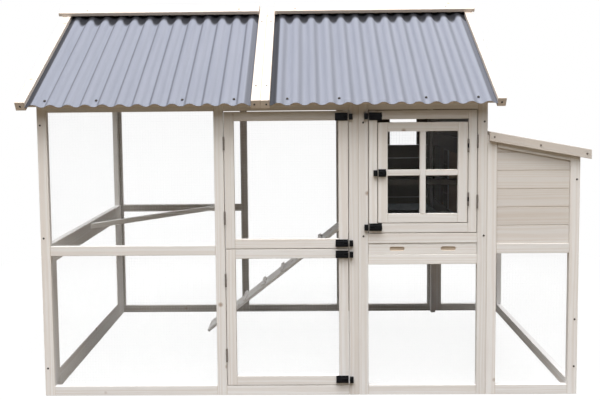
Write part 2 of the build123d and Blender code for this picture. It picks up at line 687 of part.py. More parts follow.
# Perch across the run's far left corner, from the side rail to the back rail
PERCH_Z0 = (MID_RAIL[0] + MID_RAIL[1] - PERCH_HEIGHT) / 2
PERCH_START = (RUN_SIDE_X[1] + BUTT, 0.0)
PERCH_END = (RUN_SIDE_X[1] + PERCH_REACH, BACK_Y[0] - BUTT)
PERCH_RUN = (PERCH_END[0] - PERCH_START[0], PERCH_END[1] - PERCH_START[1])
PERCH_SPAN = (PERCH_RUN[0] ** 2 + PERCH_RUN[1] ** 2) ** 0.5
PERCH_DY = PERCH_WIDTH / 2 * PERCH_SPAN / PERCH_RUN[0]
PERCH_DX = PERCH_WIDTH / 2 * PERCH_SPAN / PERCH_RUN[1]
with BuildPart() as run_perch:
    with BuildSketch(Plane.XY.offset(PERCH_Z0)):
        Polygon(
            (PERCH_START[0], PERCH_START[1] - PERCH_DY),
            (PERCH_END[0] + PERCH_DX, PERCH_END[1]),
            (PERCH_END[0] - PERCH_DX, PERCH_END[1]),
            (PERCH_START[0], PERCH_START[1] + PERCH_DY),
            align=None,
        )
    extrude(amount=PERCH_HEIGHT)
save(run_perch, "run_perch")

# Ramp from the ground to the sill of the pop hole, with cleats across it
RAMP_X0 = RUN_X0 + RAMP_FOOT
RAMP_X1 = RUN_X1 - BUTT
RAMP_ANGLE = atan((RAMP_RISE - RAMP) / (RAMP_X1 - RAMP_X0))
RAMP_Y = (POP_HOLE_Y - RAMP_WIDTH / 2, POP_HOLE_Y + RAMP_WIDTH / 2)
RAMP_RUN = RAMP_X1 - RAMP_X0
RAMP_PLANE = Plane(
    origin=(RAMP_X0 - RAMP * sin(RAMP_ANGLE), POP_HOLE_Y, RAMP * cos(RAMP_ANGLE)),
    x_dir=(cos(RAMP_ANGLE), 0, sin(RAMP_ANGLE)),
    z_dir=(-sin(RAMP_ANGLE), 0, cos(RAMP_ANGLE)),
)
with BuildPart() as ramp:
    rise = RAMP_RUN * tan(RAMP_ANGLE)
    deep_prism(
        [
            (RAMP_X0, 0),
            (RAMP_X1, rise),
            (RAMP_X1, rise + RAMP / cos(RAMP_ANGLE)),
            (RAMP_X0 - RAMP * sin(RAMP_ANGLE), RAMP * cos(RAMP_ANGLE)),
        ],
        RAMP_Y,
    )
    for i in range(CLEATS):
        with BuildSketch(RAMP_PLANE.offset(BUTT)):
            with Locations(((i + 1) * CLEAT_PITCH, 0)):
                Rectangle(CLEAT_WIDTH, RAMP_WIDTH)
        extrude(amount=CLEAT_HEIGHT)
save(ramp, "ramp")

# Roost bars between the house's side walls
ROOST_X = (LEFT_BOARD_X[1], RIGHT_BOARD_X[0])
with BuildPart() as roost_bars:
    for middle in (-ROOST_SPREAD - ROOST_WIDTH / 2, ROOST_SPREAD - ROOST_WIDTH / 2):
        slab(ROOST_X, (middle, middle + ROOST_WIDTH), (ROOST_Z, ROOST_Z + ROOST_HEIGHT))
save(roost_bars, "roost_bars")

# Nest floor and the walls between the nests
NEST_INSIDE_X = (HOUSE_X1 + BUTT, NEST_SIDE_X[0] - BUTT)
with BuildPart() as nest_floor:
    slab(NEST_INSIDE_X, SIDE_Y, (MID_RAIL[1] - NEST_FLOOR, MID_RAIL[1]))
save(nest_floor, "nest_floor")

with BuildPart() as nest_dividers:
    x = NEST_INSIDE_X
    top = [(x[1], lid_under(x[1]) - DIVIDER_LID_GAP), (x[0], lid_under(x[0]) - DIVIDER_LID_GAP)]
    for i in range(1, NESTS):
        near = SIDE_BAY[0] + NEST_STEP * i - DIVIDER / 2
        deep_prism([(x[0], MID_RAIL[1]), (x[1], MID_RAIL[1])] + top, (near, near + DIVIDER))
save(nest_dividers, "nest_dividers")


def hinge_knuckle(plane, low, high):
    """A solid knuckle of a hinge between two heights on its axis."""
    with BuildSketch(plane.offset(low)) as outline:
        Circle(HINGE_RADIUS)
    extrude(outline.sketch, amount=high - low)


def leaf_plate(plane, near, far, low, high, side):
    """A flat part of a leaf, on the frame's side (-1) or the door's side (1) of the axis."""
    with BuildSketch(plane.offset(low)) as outline:
        with Locations((side * (DOOR_GAP - LEAF) / 2, (near + far) / 2)):
            Rectangle(LEAF, far - near)
    extrude(outline.sketch, amount=high - low)


LEAF_START = HINGE_STAND_OFF + BUTT
LEAF_END = HINGE_STAND_OFF + LEAF_WIDTH
HALF_HINGE = HINGE_HEIGHT / 2
HALF_MIDDLE = MIDDLE_KNUCKLE / 2


def fixed_leaf(plane):
    """The leaf on the frame, with its two outer knuckles and the pin."""
    leaf_plate(plane, LEAF_START, LEAF_END, -HALF_HINGE, HALF_HINGE, -1)
    for low, high in ((-HALF_HINGE, -HALF_MIDDLE - KNUCKLE_GAP), (HALF_MIDDLE + KNUCKLE_GAP, HALF_HINGE)):
        hinge_knuckle(plane, low, high)
        leaf_plate(plane, 0, LEAF_START, low, high, -1)
    with BuildSketch(plane.offset(-HALF_HINGE)) as outline:
        Circle(HINGE_PIN_RADIUS)
    extrude(outline.sketch, amount=HINGE_HEIGHT)


def moving_leaf(plane):
    """The leaf on the door, with its middle knuckle bored for the pin."""
    leaf_plate(plane, LEAF_START, LEAF_END, -HALF_HINGE, HALF_HINGE, 1)
    hinge_knuckle(plane, -HALF_MIDDLE, HALF_MIDDLE)
    leaf_plate(plane, 0, LEAF_START, -HALF_MIDDLE, HALF_MIDDLE, 1)
    with BuildSketch(plane.offset(-HALF_MIDDLE)) as outline:
        Circle(HINGE_PIN_RADIUS + PIN_CLEARANCE)
    extrude(outline.sketch, amount=MIDDLE_KNUCKLE, mode=Mode.SUBTRACT)


def left_hinge(x, z):
    """The axis plane of a hinge with its frame on the left."""
    return Plane(origin=(x, FRONT - HINGE_STAND_OFF, z), x_dir=(1, 0, 0), z_dir=(0, 0, 1))


def right_hinge(x, z):
    """The axis plane of a hinge with its frame on the right."""
    return Plane(origin=(x, FRONT - HINGE_STAND_OFF, z), x_dir=(-1, 0, 0), z_dir=(0, 0, -1))


# Door and sash outlines
RUN_DOOR_X = shrink(DOOR_BAY, DOOR_GAP)
UPPER_DOOR_Z = (DOOR_SPLIT_Z + DOOR_GAP / 2, TOP_RAIL[0] - DOOR_GAP)
LOWER_DOOR_Z = (BOTTOM_RAIL[1] + DOOR_GAP, DOOR_SPLIT_Z - DOOR_GAP / 2)
HOUSE_DOOR_X = shrink(HOUSE_BAY, DOOR_GAP)
HOUSE_DOOR_Z = (DOOR_RAIL[1] + DOOR_GAP, TOP_RAIL[0] - DOOR_GAP)
HOUSE_DOOR_HOLE = shrink(HOUSE_DOOR_X, HOUSE_DOOR_STILE)
HOUSE_DOOR_HOLE_Z = (HOUSE_DOOR_Z[0] + HOUSE_DOOR_BOTTOM_RAIL, HOUSE_DOOR_Z[1] - HOUSE_DOOR_TOP_RAIL)
SASH_X = shrink(HOUSE_DOOR_HOLE, DOOR_GAP)
SASH_Z = (HOUSE_DOOR_HOLE_Z[0] + DOOR_GAP, HOUSE_DOOR_HOLE_Z[1] - SASH_TOP_GAP)

RUN_HINGE_X = RUN_DOOR_X[0] - DOOR_GAP / 2
HOUSE_HINGE_X = HOUSE_DOOR_X[1] + DOOR_GAP / 2
SASH_HINGE_X = SASH_X[1] + DOOR_GAP / 2
UPPER_HINGES = [left_hinge(RUN_HINGE_X, z) for z in shrink(UPPER_DOOR_Z, HINGE_INSET)]
LOWER_HINGES = [left_hinge(RUN_HINGE_X, z) for z in shrink(LOWER_DOOR_Z, HINGE_INSET)]
HOUSE_HINGES = [right_hinge(HOUSE_HINGE_X, z) for z in shrink(HOUSE_DOOR_Z, HINGE_INSET)]
SASH_HINGES = [right_hinge(SASH_HINGE_X, z) for z in shrink(SASH_Z, SASH_HINGE_INSET)]

BARREL_Y = FRONT - CASE_PLATE - BARREL_DEPTH / 2


def latch_case(edge, way, z, length=CASE_LENGTH):
    """A bolt's case on a door: its edge of the gap and the way the bolt shoots, 1 or -1."""
    near = edge - way * LATCH_EDGE
    far = near - way * length
    x = (min(near, far), max(near, far))
    slab(x, (FRONT - CASE_PLATE, FRONT), (z - CASE_HEIGHT / 2, z + CASE_HEIGHT / 2))
    barrel = (FRONT - CASE_PLATE - BARREL_DEPTH, FRONT - CASE_PLATE)
    slab(x, barrel, (z - BARREL_HEIGHT / 2, z + BARREL_HEIGHT / 2))
    with BuildSketch(Plane(origin=(x[0], BARREL_Y, z), x_dir=(0, 1, 0), z_dir=(1, 0, 0))) as outline:
        Circle(BOLT_RADIUS + BOLT_CLEARANCE)
    extrude(outline.sketch, amount=length, mode=Mode.SUBTRACT)
    knob = KNOB_RADIUS + KNOB_SLOT_CLEARANCE
    rest = knob_x(near, way)
    slot = (min(rest, rest + way * BOLT_TRAVEL) - knob, max(rest, rest + way * BOLT_TRAVEL) + knob)
    cut_slab(slot, (barrel[0], BARREL_Y), (z - knob, z + knob))


def knob_x(near, way):
    """Where a bolt's knob stands at rest, drawn back in its case."""
    return near - way * (BOLT_TRAVEL + 2 * KNOB_RADIUS)


def keeper(edge, way, z):
    """The block beside the gap that the bolt shoots into."""
    near = edge + way * LATCH_EDGE
    far = near + way * KEEPER_LENGTH
    x = (min(near, far), max(near, far))
    slab(x, (FRONT - CASE_PLATE - BARREL_DEPTH, FRONT), (z - KEEPER_HEIGHT / 2, z + KEEPER_HEIGHT / 2))
    with BuildSketch(Plane(origin=(x[0], BARREL_Y, z), x_dir=(0, 1, 0), z_dir=(1, 0, 0))) as outline:
        Circle(BOLT_RADIUS + 2 * BOLT_CLEARANCE)
    extrude(outline.sketch, amount=KEEPER_LENGTH, mode=Mode.SUBTRACT)


def bolt(edge, way, z, length=CASE_LENGTH):
    """A round bolt with its knob, drawn back in the case."""
    near = edge - way * (LATCH_EDGE + BOLT_INSET)
    far = edge - way * (LATCH_EDGE + length - BOLT_INSET)
    low = min(near, far)
    with BuildSketch(Plane(origin=(low, BARREL_Y, z), x_dir=(0, 1, 0), z_dir=(1, 0, 0))) as outline:
        Circle(BOLT_RADIUS)
    extrude(outline.sketch, amount=abs(near - far))
    knob = knob_x(edge - way * LATCH_EDGE, way)
    with BuildSketch(Plane(origin=(knob, BARREL_Y, z), x_dir=(1, 0, 0), z_dir=(0, -1, 0))) as outline:
        Circle(KNOB_RADIUS)
    extrude(outline.sketch, amount=KNOB_REACH - BARREL_DEPTH / 2)


UPPER_LATCH_Z = (UPPER_DOOR_Z[0] + LATCH_INSET - DOOR_GAP, UPPER_DOOR_Z[1] - LATCH_INSET)
LOWER_LATCH_Z = (LOWER_DOOR_Z[0] + LATCH_INSET, LOWER_DOOR_Z[1] - LOWER_LATCH_INSET)
HOUSE_LATCH_Z = (HOUSE_DOOR_Z[0] + LATCH_INSET, HOUSE_DOOR_Z[1] - LATCH_INSET)
SASH_LATCH_Z = (SASH_Z[0] + SASH_Z[1]) / 2
RUN_LATCH_X = RUN_DOOR_X[1]
RUN_KEEPER_X = DOOR_BAY[1]
HOUSE_LATCH_X = HOUSE_DOOR_X[0]
HOUSE_KEEPER_X = HOUSE_BAY[0]
SASH_LATCH_X = SASH_X[0]
SASH_KEEPER_X = HOUSE_DOOR_HOLE[0]


def door_frame(x, z, stile, top, bottom, y):
    """Two stiles and two rails of a door or a sash."""
    slab((x[0], x[0] + stile), y, z)
    slab((x[1] - stile, x[1]), y, z)
    rails = ((z[0], z[0] + bottom), (z[1] - top, z[1]))
    rails_along((x[0] + stile, x[1] - stile), y, rails)


# Run doors, one above the other
for name, z, hinges, latches in (
    ("upper", UPPER_DOOR_Z, UPPER_HINGES, UPPER_LATCH_Z),
    ("lower", LOWER_DOOR_Z, LOWER_HINGES, LOWER_LATCH_Z),
):
    with BuildPart() as run_door_frame:
        door_frame(RUN_DOOR_X, z, DOOR_STILE, DOOR_TOP_RAIL, DOOR_TOP_RAIL, FRONT_Y)
    save(run_door_frame, f"{name}_door_frame")

    with BuildPart() as run_door_mesh:
        net_along(shrink(RUN_DOOR_X, DOOR_STILE), FRONT_NET_Y, shrink(z, DOOR_TOP_RAIL))
    save(run_door_mesh, f"{name}_door_mesh")

    with BuildPart() as run_door_hinges:
        for hinge in hinges:
            moving_leaf(hinge)
    save(run_door_hinges, f"{name}_door_hinges")

    with BuildPart() as run_door_latches:
        for height in latches:
            latch_case(RUN_LATCH_X, 1, height)
    save(run_door_latches, f"{name}_door_latches")

    for place, height in zip(("low", "high"), latches):
        with BuildPart() as run_bolt:
            bolt(RUN_LATCH_X, 1, height)
        save(run_bolt, f"{name}_door_bolt_{place}")

# House door
with BuildPart() as house_door_frame:
    rails = (HOUSE_DOOR_TOP_RAIL, HOUSE_DOOR_BOTTOM_RAIL)
    door_frame(HOUSE_DOOR_X, HOUSE_DOOR_Z, HOUSE_DOOR_STILE, *rails, FRONT_Y)
save(house_door_frame, "house_door_frame")

with BuildPart() as house_door_hinges:
    for hinge in HOUSE_HINGES:
        moving_leaf(hinge)
    for hinge in SASH_HINGES:
        fixed_leaf(hinge)
save(house_door_hinges, "house_door_hinges")

with BuildPart() as house_door_latches:
    for height in HOUSE_LATCH_Z:
        latch_case(HOUSE_LATCH_X, -1, height)
    keeper(SASH_KEEPER_X, -1, SASH_LATCH_Z)
save(house_door_latches, "house_door_latches")

for place, height in zip(("low", "high"), HOUSE_LATCH_Z):
    with BuildPart() as house_bolt:
        bolt(HOUSE_LATCH_X, -1, height)
    save(house_bolt, f"house_door_bolt_{place}")

# Window sash: a frame with crossed glazing bars, one clear sheet and a net behind it
SASH_Y = (FRONT, FRONT + SASH_THICKNESS)
SASH_LIGHT = shrink(SASH_X, SASH_STILE)
SASH_LIGHT_Z = shrink(SASH_Z, SASH_RAIL)
SASH_MIDDLE_X = (SASH_X[0] + SASH_X[1]) / 2
SASH_MIDDLE_Z = (SASH_Z[0] + SASH_Z[1]) / 2
with BuildPart() as sash_frame:
    door_frame(SASH_X, SASH_Z, SASH_STILE, SASH_RAIL, SASH_RAIL, SASH_Y)
    upright = (SASH_MIDDLE_X - GLAZING_BAR / 2, SASH_MIDDLE_X + GLAZING_BAR / 2)
    level = (SASH_MIDDLE_Z - GLAZING_BAR / 2, SASH_MIDDLE_Z + GLAZING_BAR / 2)
    slab(upright, SASH_Y, shrink(SASH_LIGHT_Z, BUTT))
    slab((SASH_LIGHT[0] + BUTT, upright[0] - BUTT), SASH_Y, level)
    slab((upright[1] + BUTT, SASH_LIGHT[1] - BUTT), SASH_Y, level)
save(sash_frame, "sash_frame")

with BuildPart() as sash_pane:
    slab(shrink(SASH_LIGHT, -PANE_LAP), (SASH_Y[1], SASH_Y[1] + PANE), shrink(SASH_LIGHT_Z, -PANE_LAP))
save(sash_pane, "sash_pane")

SASH_NET_Y = (SASH_Y[1] + PANE, SASH_Y[1] + PANE + NET)
with BuildPart() as sash_mesh:
    net_along(SASH_LIGHT, SASH_NET_Y, SASH_LIGHT_Z, lap=PANE_LAP, pitch=SASH_NET_PITCH)
save(sash_mesh, "sash_mesh")

with BuildPart() as sash_fittings:
    for hinge in SASH_HINGES:
        moving_leaf(hinge)
    latch_case(SASH_LATCH_X, -1, SASH_LATCH_Z, SASH_CASE_LENGTH)
save(sash_fittings, "sash_fittings")

with BuildPart() as sash_bolt:
    bolt(SASH_LATCH_X, -1, SASH_LATCH_Z, SASH_CASE_LENGTH)
save(sash_bolt, "sash_bolt")

with BuildPart() as latch_keepers:
    for height in UPPER_LATCH_Z + LOWER_LATCH_Z:
        keeper(RUN_KEEPER_X, 1, height)
    for height in HOUSE_LATCH_Z:
        keeper(HOUSE_KEEPER_X, -1, height)
save(latch_keepers, "latch_keepers")

# Drawer front with finger slots, and the tray behind it
DRAWER_X = shrink(HOUSE_BAY, DRAWER_GAP)
DRAWER_FRONT_Z = shrink(DRAWER_Z, DRAWER_GAP)
DRAWER_MIDDLE = ((DRAWER_X[0] + DRAWER_X[1]) / 2, FRONT, (DRAWER_Z[0] + DRAWER_Z[1]) / 2)
with BuildPart() as drawer_front:
    slab(DRAWER_X, (FRONT, FRONT + DRAWER_FRONT), DRAWER_FRONT_Z)
    with BuildSketch(Plane(origin=DRAWER_MIDDLE, x_dir=(1, 0, 0), z_dir=(0, -1, 0))):
        with GridLocations(SLOT_SPACING, 1, 2, 1):
            SlotOverall(SLOT_LENGTH, SLOT_HEIGHT)
    extrude(amount=-SLOT_DEPTH, mode=Mode.SUBTRACT)
save(drawer_front, "drawer_front")

TRAY_X = shrink(HOUSE_BAY, TRAY_SIDE_GAP)
TRAY_Y = (FRONT + DRAWER_FRONT, BACK_Y[0] - TRAY_BACK_GAP)
TRAY_Z = (FLOOR_RAIL[1] + TRAY_CLEARANCE, FLOOR_RAIL[1] + TRAY_HEIGHT)
with BuildPart() as dropping_tray:
    slab(TRAY_X, TRAY_Y, TRAY_Z)
    cut_slab(shrink(TRAY_X, TRAY_WALL), shrink(TRAY_Y, TRAY_WALL), (TRAY_Z[0] + TRAY_WALL, TRAY_Z[1]))
save(dropping_tray, "dropping_tray")

# Nest lid: a sloping board with fascia boards under its three free edges
LID_X0 = HOUSE_X1 + LID_WALL_GAP
LID_X1 = HOUSE_X1 + LID_SPAN
LID_Y = (FRONT - LID_SIDE_REACH, BACK + LID_SIDE_REACH)


def lid_top(x):
    """Height of the lid's upper face."""
    return LID_TOP_Z - (x - HOUSE_X1) * LID_SLOPE


def lid_strip(x, top, bottom, y):
    """A strip of the lid between two depths under its upper face."""
    upper = [(x[0], lid_top(x[0]) - top), (x[1], lid_top(x[1]) - top)]
    lower = [(x[1], lid_top(x[1]) - bottom), (x[0], lid_top(x[0]) - bottom)]
    deep_prism(upper + lower, y)


LID_DEPTH = LID / cos(LID_ANGLE)
with BuildPart() as nest_lid:
    lid_strip((LID_X0, LID_X1 - FASCIA - BUTT), 0, LID_DEPTH, shrink(LID_Y, FASCIA + BUTT))
    lid_strip((LID_X0, LID_X1), 0, FASCIA_HEIGHT, (LID_Y[0], LID_Y[0] + FASCIA))
    lid_strip((LID_X0, LID_X1), 0, FASCIA_HEIGHT, (LID_Y[1] - FASCIA, LID_Y[1]))
    lid_strip((LID_X1 - FASCIA, LID_X1), 0, FASCIA_HEIGHT, shrink(LID_Y, FASCIA + BUTT))
save(nest_lid, "nest_lid")

# Lid hinges: one leaf on the house wall, one on the lid
LID_AXIS_X = HOUSE_X1 + HINGE_RADIUS + LEAF
LID_AXIS_Z = lid_top(LID_AXIS_X) + (HINGE_RADIUS + BUTT) / cos(LID_ANGLE)
LID_HINGE_YS = [NEST_MIDDLES[0], NEST_MIDDLES[-1]]


def lid_axis(y):
    """The axis plane of a lid hinge, with its X along the length and its Y up."""
    return Plane(origin=(LID_AXIS_X, y, LID_AXIS_Z), x_dir=(1, 0, 0), z_dir=(0, -1, 0))


def lid_fixed_leaf(y):
    """The leaf on the wall, with its outer knuckles and the pin."""
    plane = lid_axis(y)
    wall = (HOUSE_X1, HOUSE_X1 + LEAF)
    start = LID_AXIS_Z + HINGE_RADIUS + BUTT
    slab(wall, (y - HALF_HINGE, y + HALF_HINGE), (start, start + LID_LEAF_WIDTH))
    for low, high in ((-HALF_HINGE, -HALF_MIDDLE - KNUCKLE_GAP), (HALF_MIDDLE + KNUCKLE_GAP, HALF_HINGE)):
        hinge_knuckle(plane, low, high)
        slab((HOUSE_X1, LID_AXIS_X), (y - high, y - low), (LID_AXIS_Z, LID_AXIS_Z + LEAF))
        slab(wall, (y - high, y - low), (LID_AXIS_Z, start))
    with BuildSketch(plane.offset(-HALF_HINGE)) as outline:
        Circle(HINGE_PIN_RADIUS)
    extrude(outline.sketch, amount=HINGE_HEIGHT)


def lid_moving_leaf(y):
    """The leaf on the lid, with its middle knuckle bored for the pin."""
    start = LID_AXIS_X + HINGE_RADIUS + KNUCKLE_GAP
    lid_strip((start, start + LID_LEAF_WIDTH), -LEAF, 0, (y - HALF_HINGE, y + HALF_HINGE))
    lid_strip((LID_AXIS_X, start), -LEAF, 0, (y - HALF_MIDDLE, y + HALF_MIDDLE))
    hinge_knuckle(lid_axis(y), -HALF_MIDDLE, HALF_MIDDLE)
    with BuildSketch(lid_axis(y).offset(-HALF_MIDDLE)) as outline:
        Circle(HINGE_PIN_RADIUS + PIN_CLEARANCE)
    extrude(outline.sketch, amount=MIDDLE_KNUCKLE, mode=Mode.SUBTRACT)


with BuildPart() as hinge_fixed_leaves:
    for hinge in UPPER_HINGES + LOWER_HINGES + HOUSE_HINGES:
        fixed_leaf(hinge)
    for y in LID_HINGE_YS:
        lid_fixed_leaf(y)
save(hinge_fixed_leaves, "hinge_fixed_leaves")


def screw_head(plane, radius, height):
    """A low domed screw head that stands on a face."""
    with BuildSketch(plane) as outline:
        Circle(radius)
    extrude(outline.sketch, amount=height, taper=degrees(atan(height / radius)) / 2)


# Screw heads on the front faces of the posts and the rafters' feet, and on the lid's fascia
POST_SCREWS_Z = (MID_RAIL[1] + POST_SCREW_INSET, TOP_RAIL[0] - POST_SCREW_DROP)
FOOT_SCREW_Z = BOTTOM_RAIL[1] + FOOT_SCREW_RISE
NEST_SCREWS_Z = (FOOT_SCREW_Z, (LOWER_BAY[1] + LOWER_BAY[0]) / 2, NEST_SIDE_TOP - NEST_SCREW_DROP)
FASCIA_SCREWS_X = (LID_X0 + FASCIA_SCREW_INSET, (LID_X0 + LID_X1) / 2, LID_X1 - FASCIA_SCREW_INSET)
TAIL_SCREWS_X = (
    sum(BARGES[0]) / 2,
    MIDDLE_X - TAIL_SCREW_SPREAD,
    MIDDLE_X + TAIL_SCREW_SPREAD,
    sum(BARGES[1]) / 2,
)
with BuildPart() as frame_screws:
    for x in (RUN_X0 + TIMBER / 2, RUN_X1 + STILE / 2, HOUSE_X1 - TIMBER / 2):
        for z in POST_SCREWS_Z:
            screw_head(Plane(origin=(x, FRONT, z), z_dir=(0, -1, 0)), SCREW_RADIUS, SCREW_HEIGHT)
    plane = Plane(origin=(RUN_X0 + TIMBER / 2, FRONT, FOOT_SCREW_Z), z_dir=(0, -1, 0))
    screw_head(plane, SCREW_RADIUS, SCREW_HEIGHT)
    for z in NEST_SCREWS_Z:
        plane = Plane(origin=(NEST_X1 - TIMBER / 2, FRONT, z), z_dir=(0, -1, 0))
        screw_head(plane, SCREW_RADIUS, SCREW_HEIGHT)
    tail_y, tail_z = on_slope(RAFTER_TAIL, (CREST_HEIGHT - RAFTER) / 2)
    for x in TAIL_SCREWS_X:
        screw_head(Plane(origin=(x, tail_y, tail_z), z_dir=-ROOF_PLANE.y_dir), SCREW_RADIUS, SCREW_HEIGHT)
save(frame_screws, "frame_screws")

with BuildPart() as lid_fittings:
    for y in LID_HINGE_YS:
        lid_moving_leaf(y)
    for x in FASCIA_SCREWS_X:
        plane = Plane(origin=(x, LID_Y[0], lid_top(x) - FASCIA_HEIGHT / 2), z_dir=(0, -1, 0))
        screw_head(plane, SCREW_RADIUS, SCREW_HEIGHT)
save(lid_fittings, "lid_fittings")

# Roof screws: through the troughs into the eave battens, on the middle rafters and on the ridge boards
SCREW_TROUGHS = (1, 4, 9, 12)
RAFTER_SCREWS_ALONG = (RAFTER_SCREW_INSETS[0], SLOPE_LENGTH - RAFTER_SCREW_INSETS[1])


def slope_screw(x, along, rise, radius, height):
    """A screw head that stands on a plane over the front slope."""
    plane = Plane(origin=(x, *on_slope(along, rise)), x_dir=(1, 0, 0), z_dir=ROOF_PLANE.z_dir)
    screw_head(plane, radius, height)


with BuildPart() as roof_screws:
    for start in SHEET_STARTS:
        for trough in SCREW_TROUGHS:
            x = start + trough * WAVE_PITCH
            rise = SHEET_SEAT + SHEET + WASHER
            slope_screw(x, EAVE_BAR[0] + ROOF_SCREW_SET_IN, rise, ROOF_SCREW_RADIUS, ROOF_SCREW_HEIGHT)
    for x in (MIDDLE_X - RAFTER_SCREW_SPREAD, MIDDLE_X + RAFTER_SCREW_SPREAD):
        for along in RAFTER_SCREWS_ALONG:
            slope_screw(x, along, CREST_HEIGHT, RAFTER_SCREW_RADIUS, RAFTER_SCREW_HEIGHT)
    for (left, right), (outer, inner) in zip(RIDGE_BOARDS_X, (RIDGE_SCREW_INSETS, RIDGE_SCREW_INSETS[::-1])):
        for x in (left + outer, right - inner):
            along = RIDGE_BOARD_FOOT + RIDGE_SCREW_RISE
            slope_screw(x, along, RIDGE_RISES[1], RAFTER_SCREW_RADIUS, RAFTER_SCREW_HEIGHT)
    mirror(about=Plane.XZ)
save(roof_screws, "roof_screws")
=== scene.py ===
"""Hen house: whitewashed fir, welded wire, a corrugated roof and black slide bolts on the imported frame.

Metres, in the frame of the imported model: +X right along the front, +Y into the depth, +Z up. Every piece
sits at the origin with its place in its mesh.
"""
import json
import logging
import math
import random
from dataclasses import dataclass
from enum import Enum
from typing import Any, Iterable, Iterator

import bmesh
import bpy
from bmesh.types import BMEdge, BMesh, BMVert
from bpy.types import Material, Node, NodeSocket, NodeTree
from mathutils import Matrix, Vector


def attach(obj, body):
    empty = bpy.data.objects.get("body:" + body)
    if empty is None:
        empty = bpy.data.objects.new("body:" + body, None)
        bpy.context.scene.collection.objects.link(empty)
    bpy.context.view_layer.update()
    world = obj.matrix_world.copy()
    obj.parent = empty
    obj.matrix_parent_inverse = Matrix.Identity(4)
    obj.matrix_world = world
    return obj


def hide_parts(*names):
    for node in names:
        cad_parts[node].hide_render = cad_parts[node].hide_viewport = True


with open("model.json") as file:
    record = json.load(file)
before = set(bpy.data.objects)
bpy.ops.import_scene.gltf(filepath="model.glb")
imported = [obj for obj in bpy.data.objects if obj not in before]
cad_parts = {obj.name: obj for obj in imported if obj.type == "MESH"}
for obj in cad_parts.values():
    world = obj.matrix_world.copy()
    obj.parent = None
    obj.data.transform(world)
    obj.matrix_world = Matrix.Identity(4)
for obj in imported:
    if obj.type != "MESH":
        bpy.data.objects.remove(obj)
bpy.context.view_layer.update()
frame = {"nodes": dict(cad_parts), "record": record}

LOG = logging.getLogger("hen_house")
MM = 0.001
MERGE_REACH = 0.01 * MM
FLAT_WITHIN = math.radians(0.5)
ROOF_PITCH = math.radians(30.5)
TIMBER_ARRIS = 1.6 * MM
BOARD_ARRIS = 2.4 * MM
HINGE_ARRIS = 0.3 * MM
LATCH_ARRIS = 0.5 * MM
# The wave texture turns by this many radians over one unit at a scale of 1.
WAVE_RADIANS = 20.0
WHITE = (1.0, 1.0, 1.0, 1.0)
BODY_OF = {node: body for body, nodes in frame["record"]["behaviour"]["bodies"].items() for node in nodes}


def linear(hex_colour: str) -> tuple[float, float, float, float]:
    """Turn an sRGB hex colour into linear light.

    Args:
        hex_colour: Six hex digits.

    Returns:
        Red, green, blue and an alpha of 1.
    """
    parts = [int(hex_colour[i:i + 2], 16) / 255 for i in (0, 2, 4)]
    red, green, blue = (c / 12.92 if c <= 0.04045 else ((c + 0.055) / 1.055) ** 2.4 for c in parts)
    return (red, green, blue, 1.0)


def add_node(tree: NodeTree, kind: str, inputs: dict[int | str, Any] | None = None, **settings: Any) -> Node:
    """Add a node with its settings, values and links.

    Args:
        tree: The tree that gets the node.
        kind: Blender's name of the node type.
        inputs: Socket name or index to a value, or to an output socket that feeds it.
        settings: The node's own properties.

    Returns:
        The new node.
    """
    node = tree.nodes.new(kind)
    for name, value in settings.items():
        setattr(node, name, value)
    for socket, value in (inputs or {}).items():
        if isinstance(value, NodeSocket):
            tree.links.new(value, node.inputs[socket])
        else:
            node.inputs[socket].default_value = value
    return node


class Layer(Enum):
    """Attributes that the meshes carry for their finishes."""

    GRAIN = "grain"
    TONE = "tone"
    WORN = "worn"
    SHEET = "sheet"


class Facing(Enum):
    """Which way a face or a screw head looks."""

    FRONT = Vector((0, -1, 0))
    LEFT = Vector((-1, 0, 0))
    RIGHT = Vector((1, 0, 0))
    UP = Vector((0, 0, 1))


class MixSocket:
    """Socket numbers of the Mix node in colour mode."""

    FACTOR = 0
    A = 6
    B = 7
    RESULT = 2


@dataclass(frozen=True)
class Span:
    """A straight change from one range of values to another."""

    start: float
    stop: float
    low: float
    high: float

    def of(self, value: NodeSocket) -> dict[str, Any]:
        """Give the sockets of a range node that changes a value in this way."""
        return {"Value": value, "From Min": self.start, "From Max": self.stop, "To Min": self.low,
                "To Max": self.high}


def layered(tree: NodeTree, base: str, layers: Iterable[tuple[NodeSocket, str]]) -> NodeSocket:
    """Lay colours over a base colour, one after the other.

    Args:
        tree: The tree that gets the nodes.
        base: The lowest colour, in hex.
        layers: For each colour from the lowest up, how much it covers and its hex.

    Returns:
        The socket that gives the colour on top.
    """
    colour = linear(base)
    for cover, over in layers:
        mix = add_node(
            tree, "ShaderNodeMix",
            {MixSocket.FACTOR: cover, MixSocket.A: colour, MixSocket.B: linear(over)}, data_type="RGBA")
        colour = mix.outputs[MixSocket.RESULT]
    return colour


@dataclass(frozen=True)
class Finish:
    """A finish with a name, made once as a Blender material."""

    name: str

    def material(self) -> Material:
        """Find the material, or make it on first use under a name that no packed material has.

        Returns:
            The material.
        """
        label = "finish_" + self.name
        found = bpy.data.materials.get(label)
        if found is not None:
            return found
        made = bpy.data.materials.new(label)
        made.use_nodes = True
        tree = made.node_tree
        tree.nodes.clear()
        shader = add_node(tree, "ShaderNodeBsdfPrincipled", self.dress(tree))
        add_node(tree, "ShaderNodeOutputMaterial", {"Surface": shader.outputs[0]})
        return made

    def dress(self, tree: NodeTree) -> dict[str, Any]:
        """Add the patterns and give what each shader socket gets; each finish has its own."""
        raise NotImplementedError


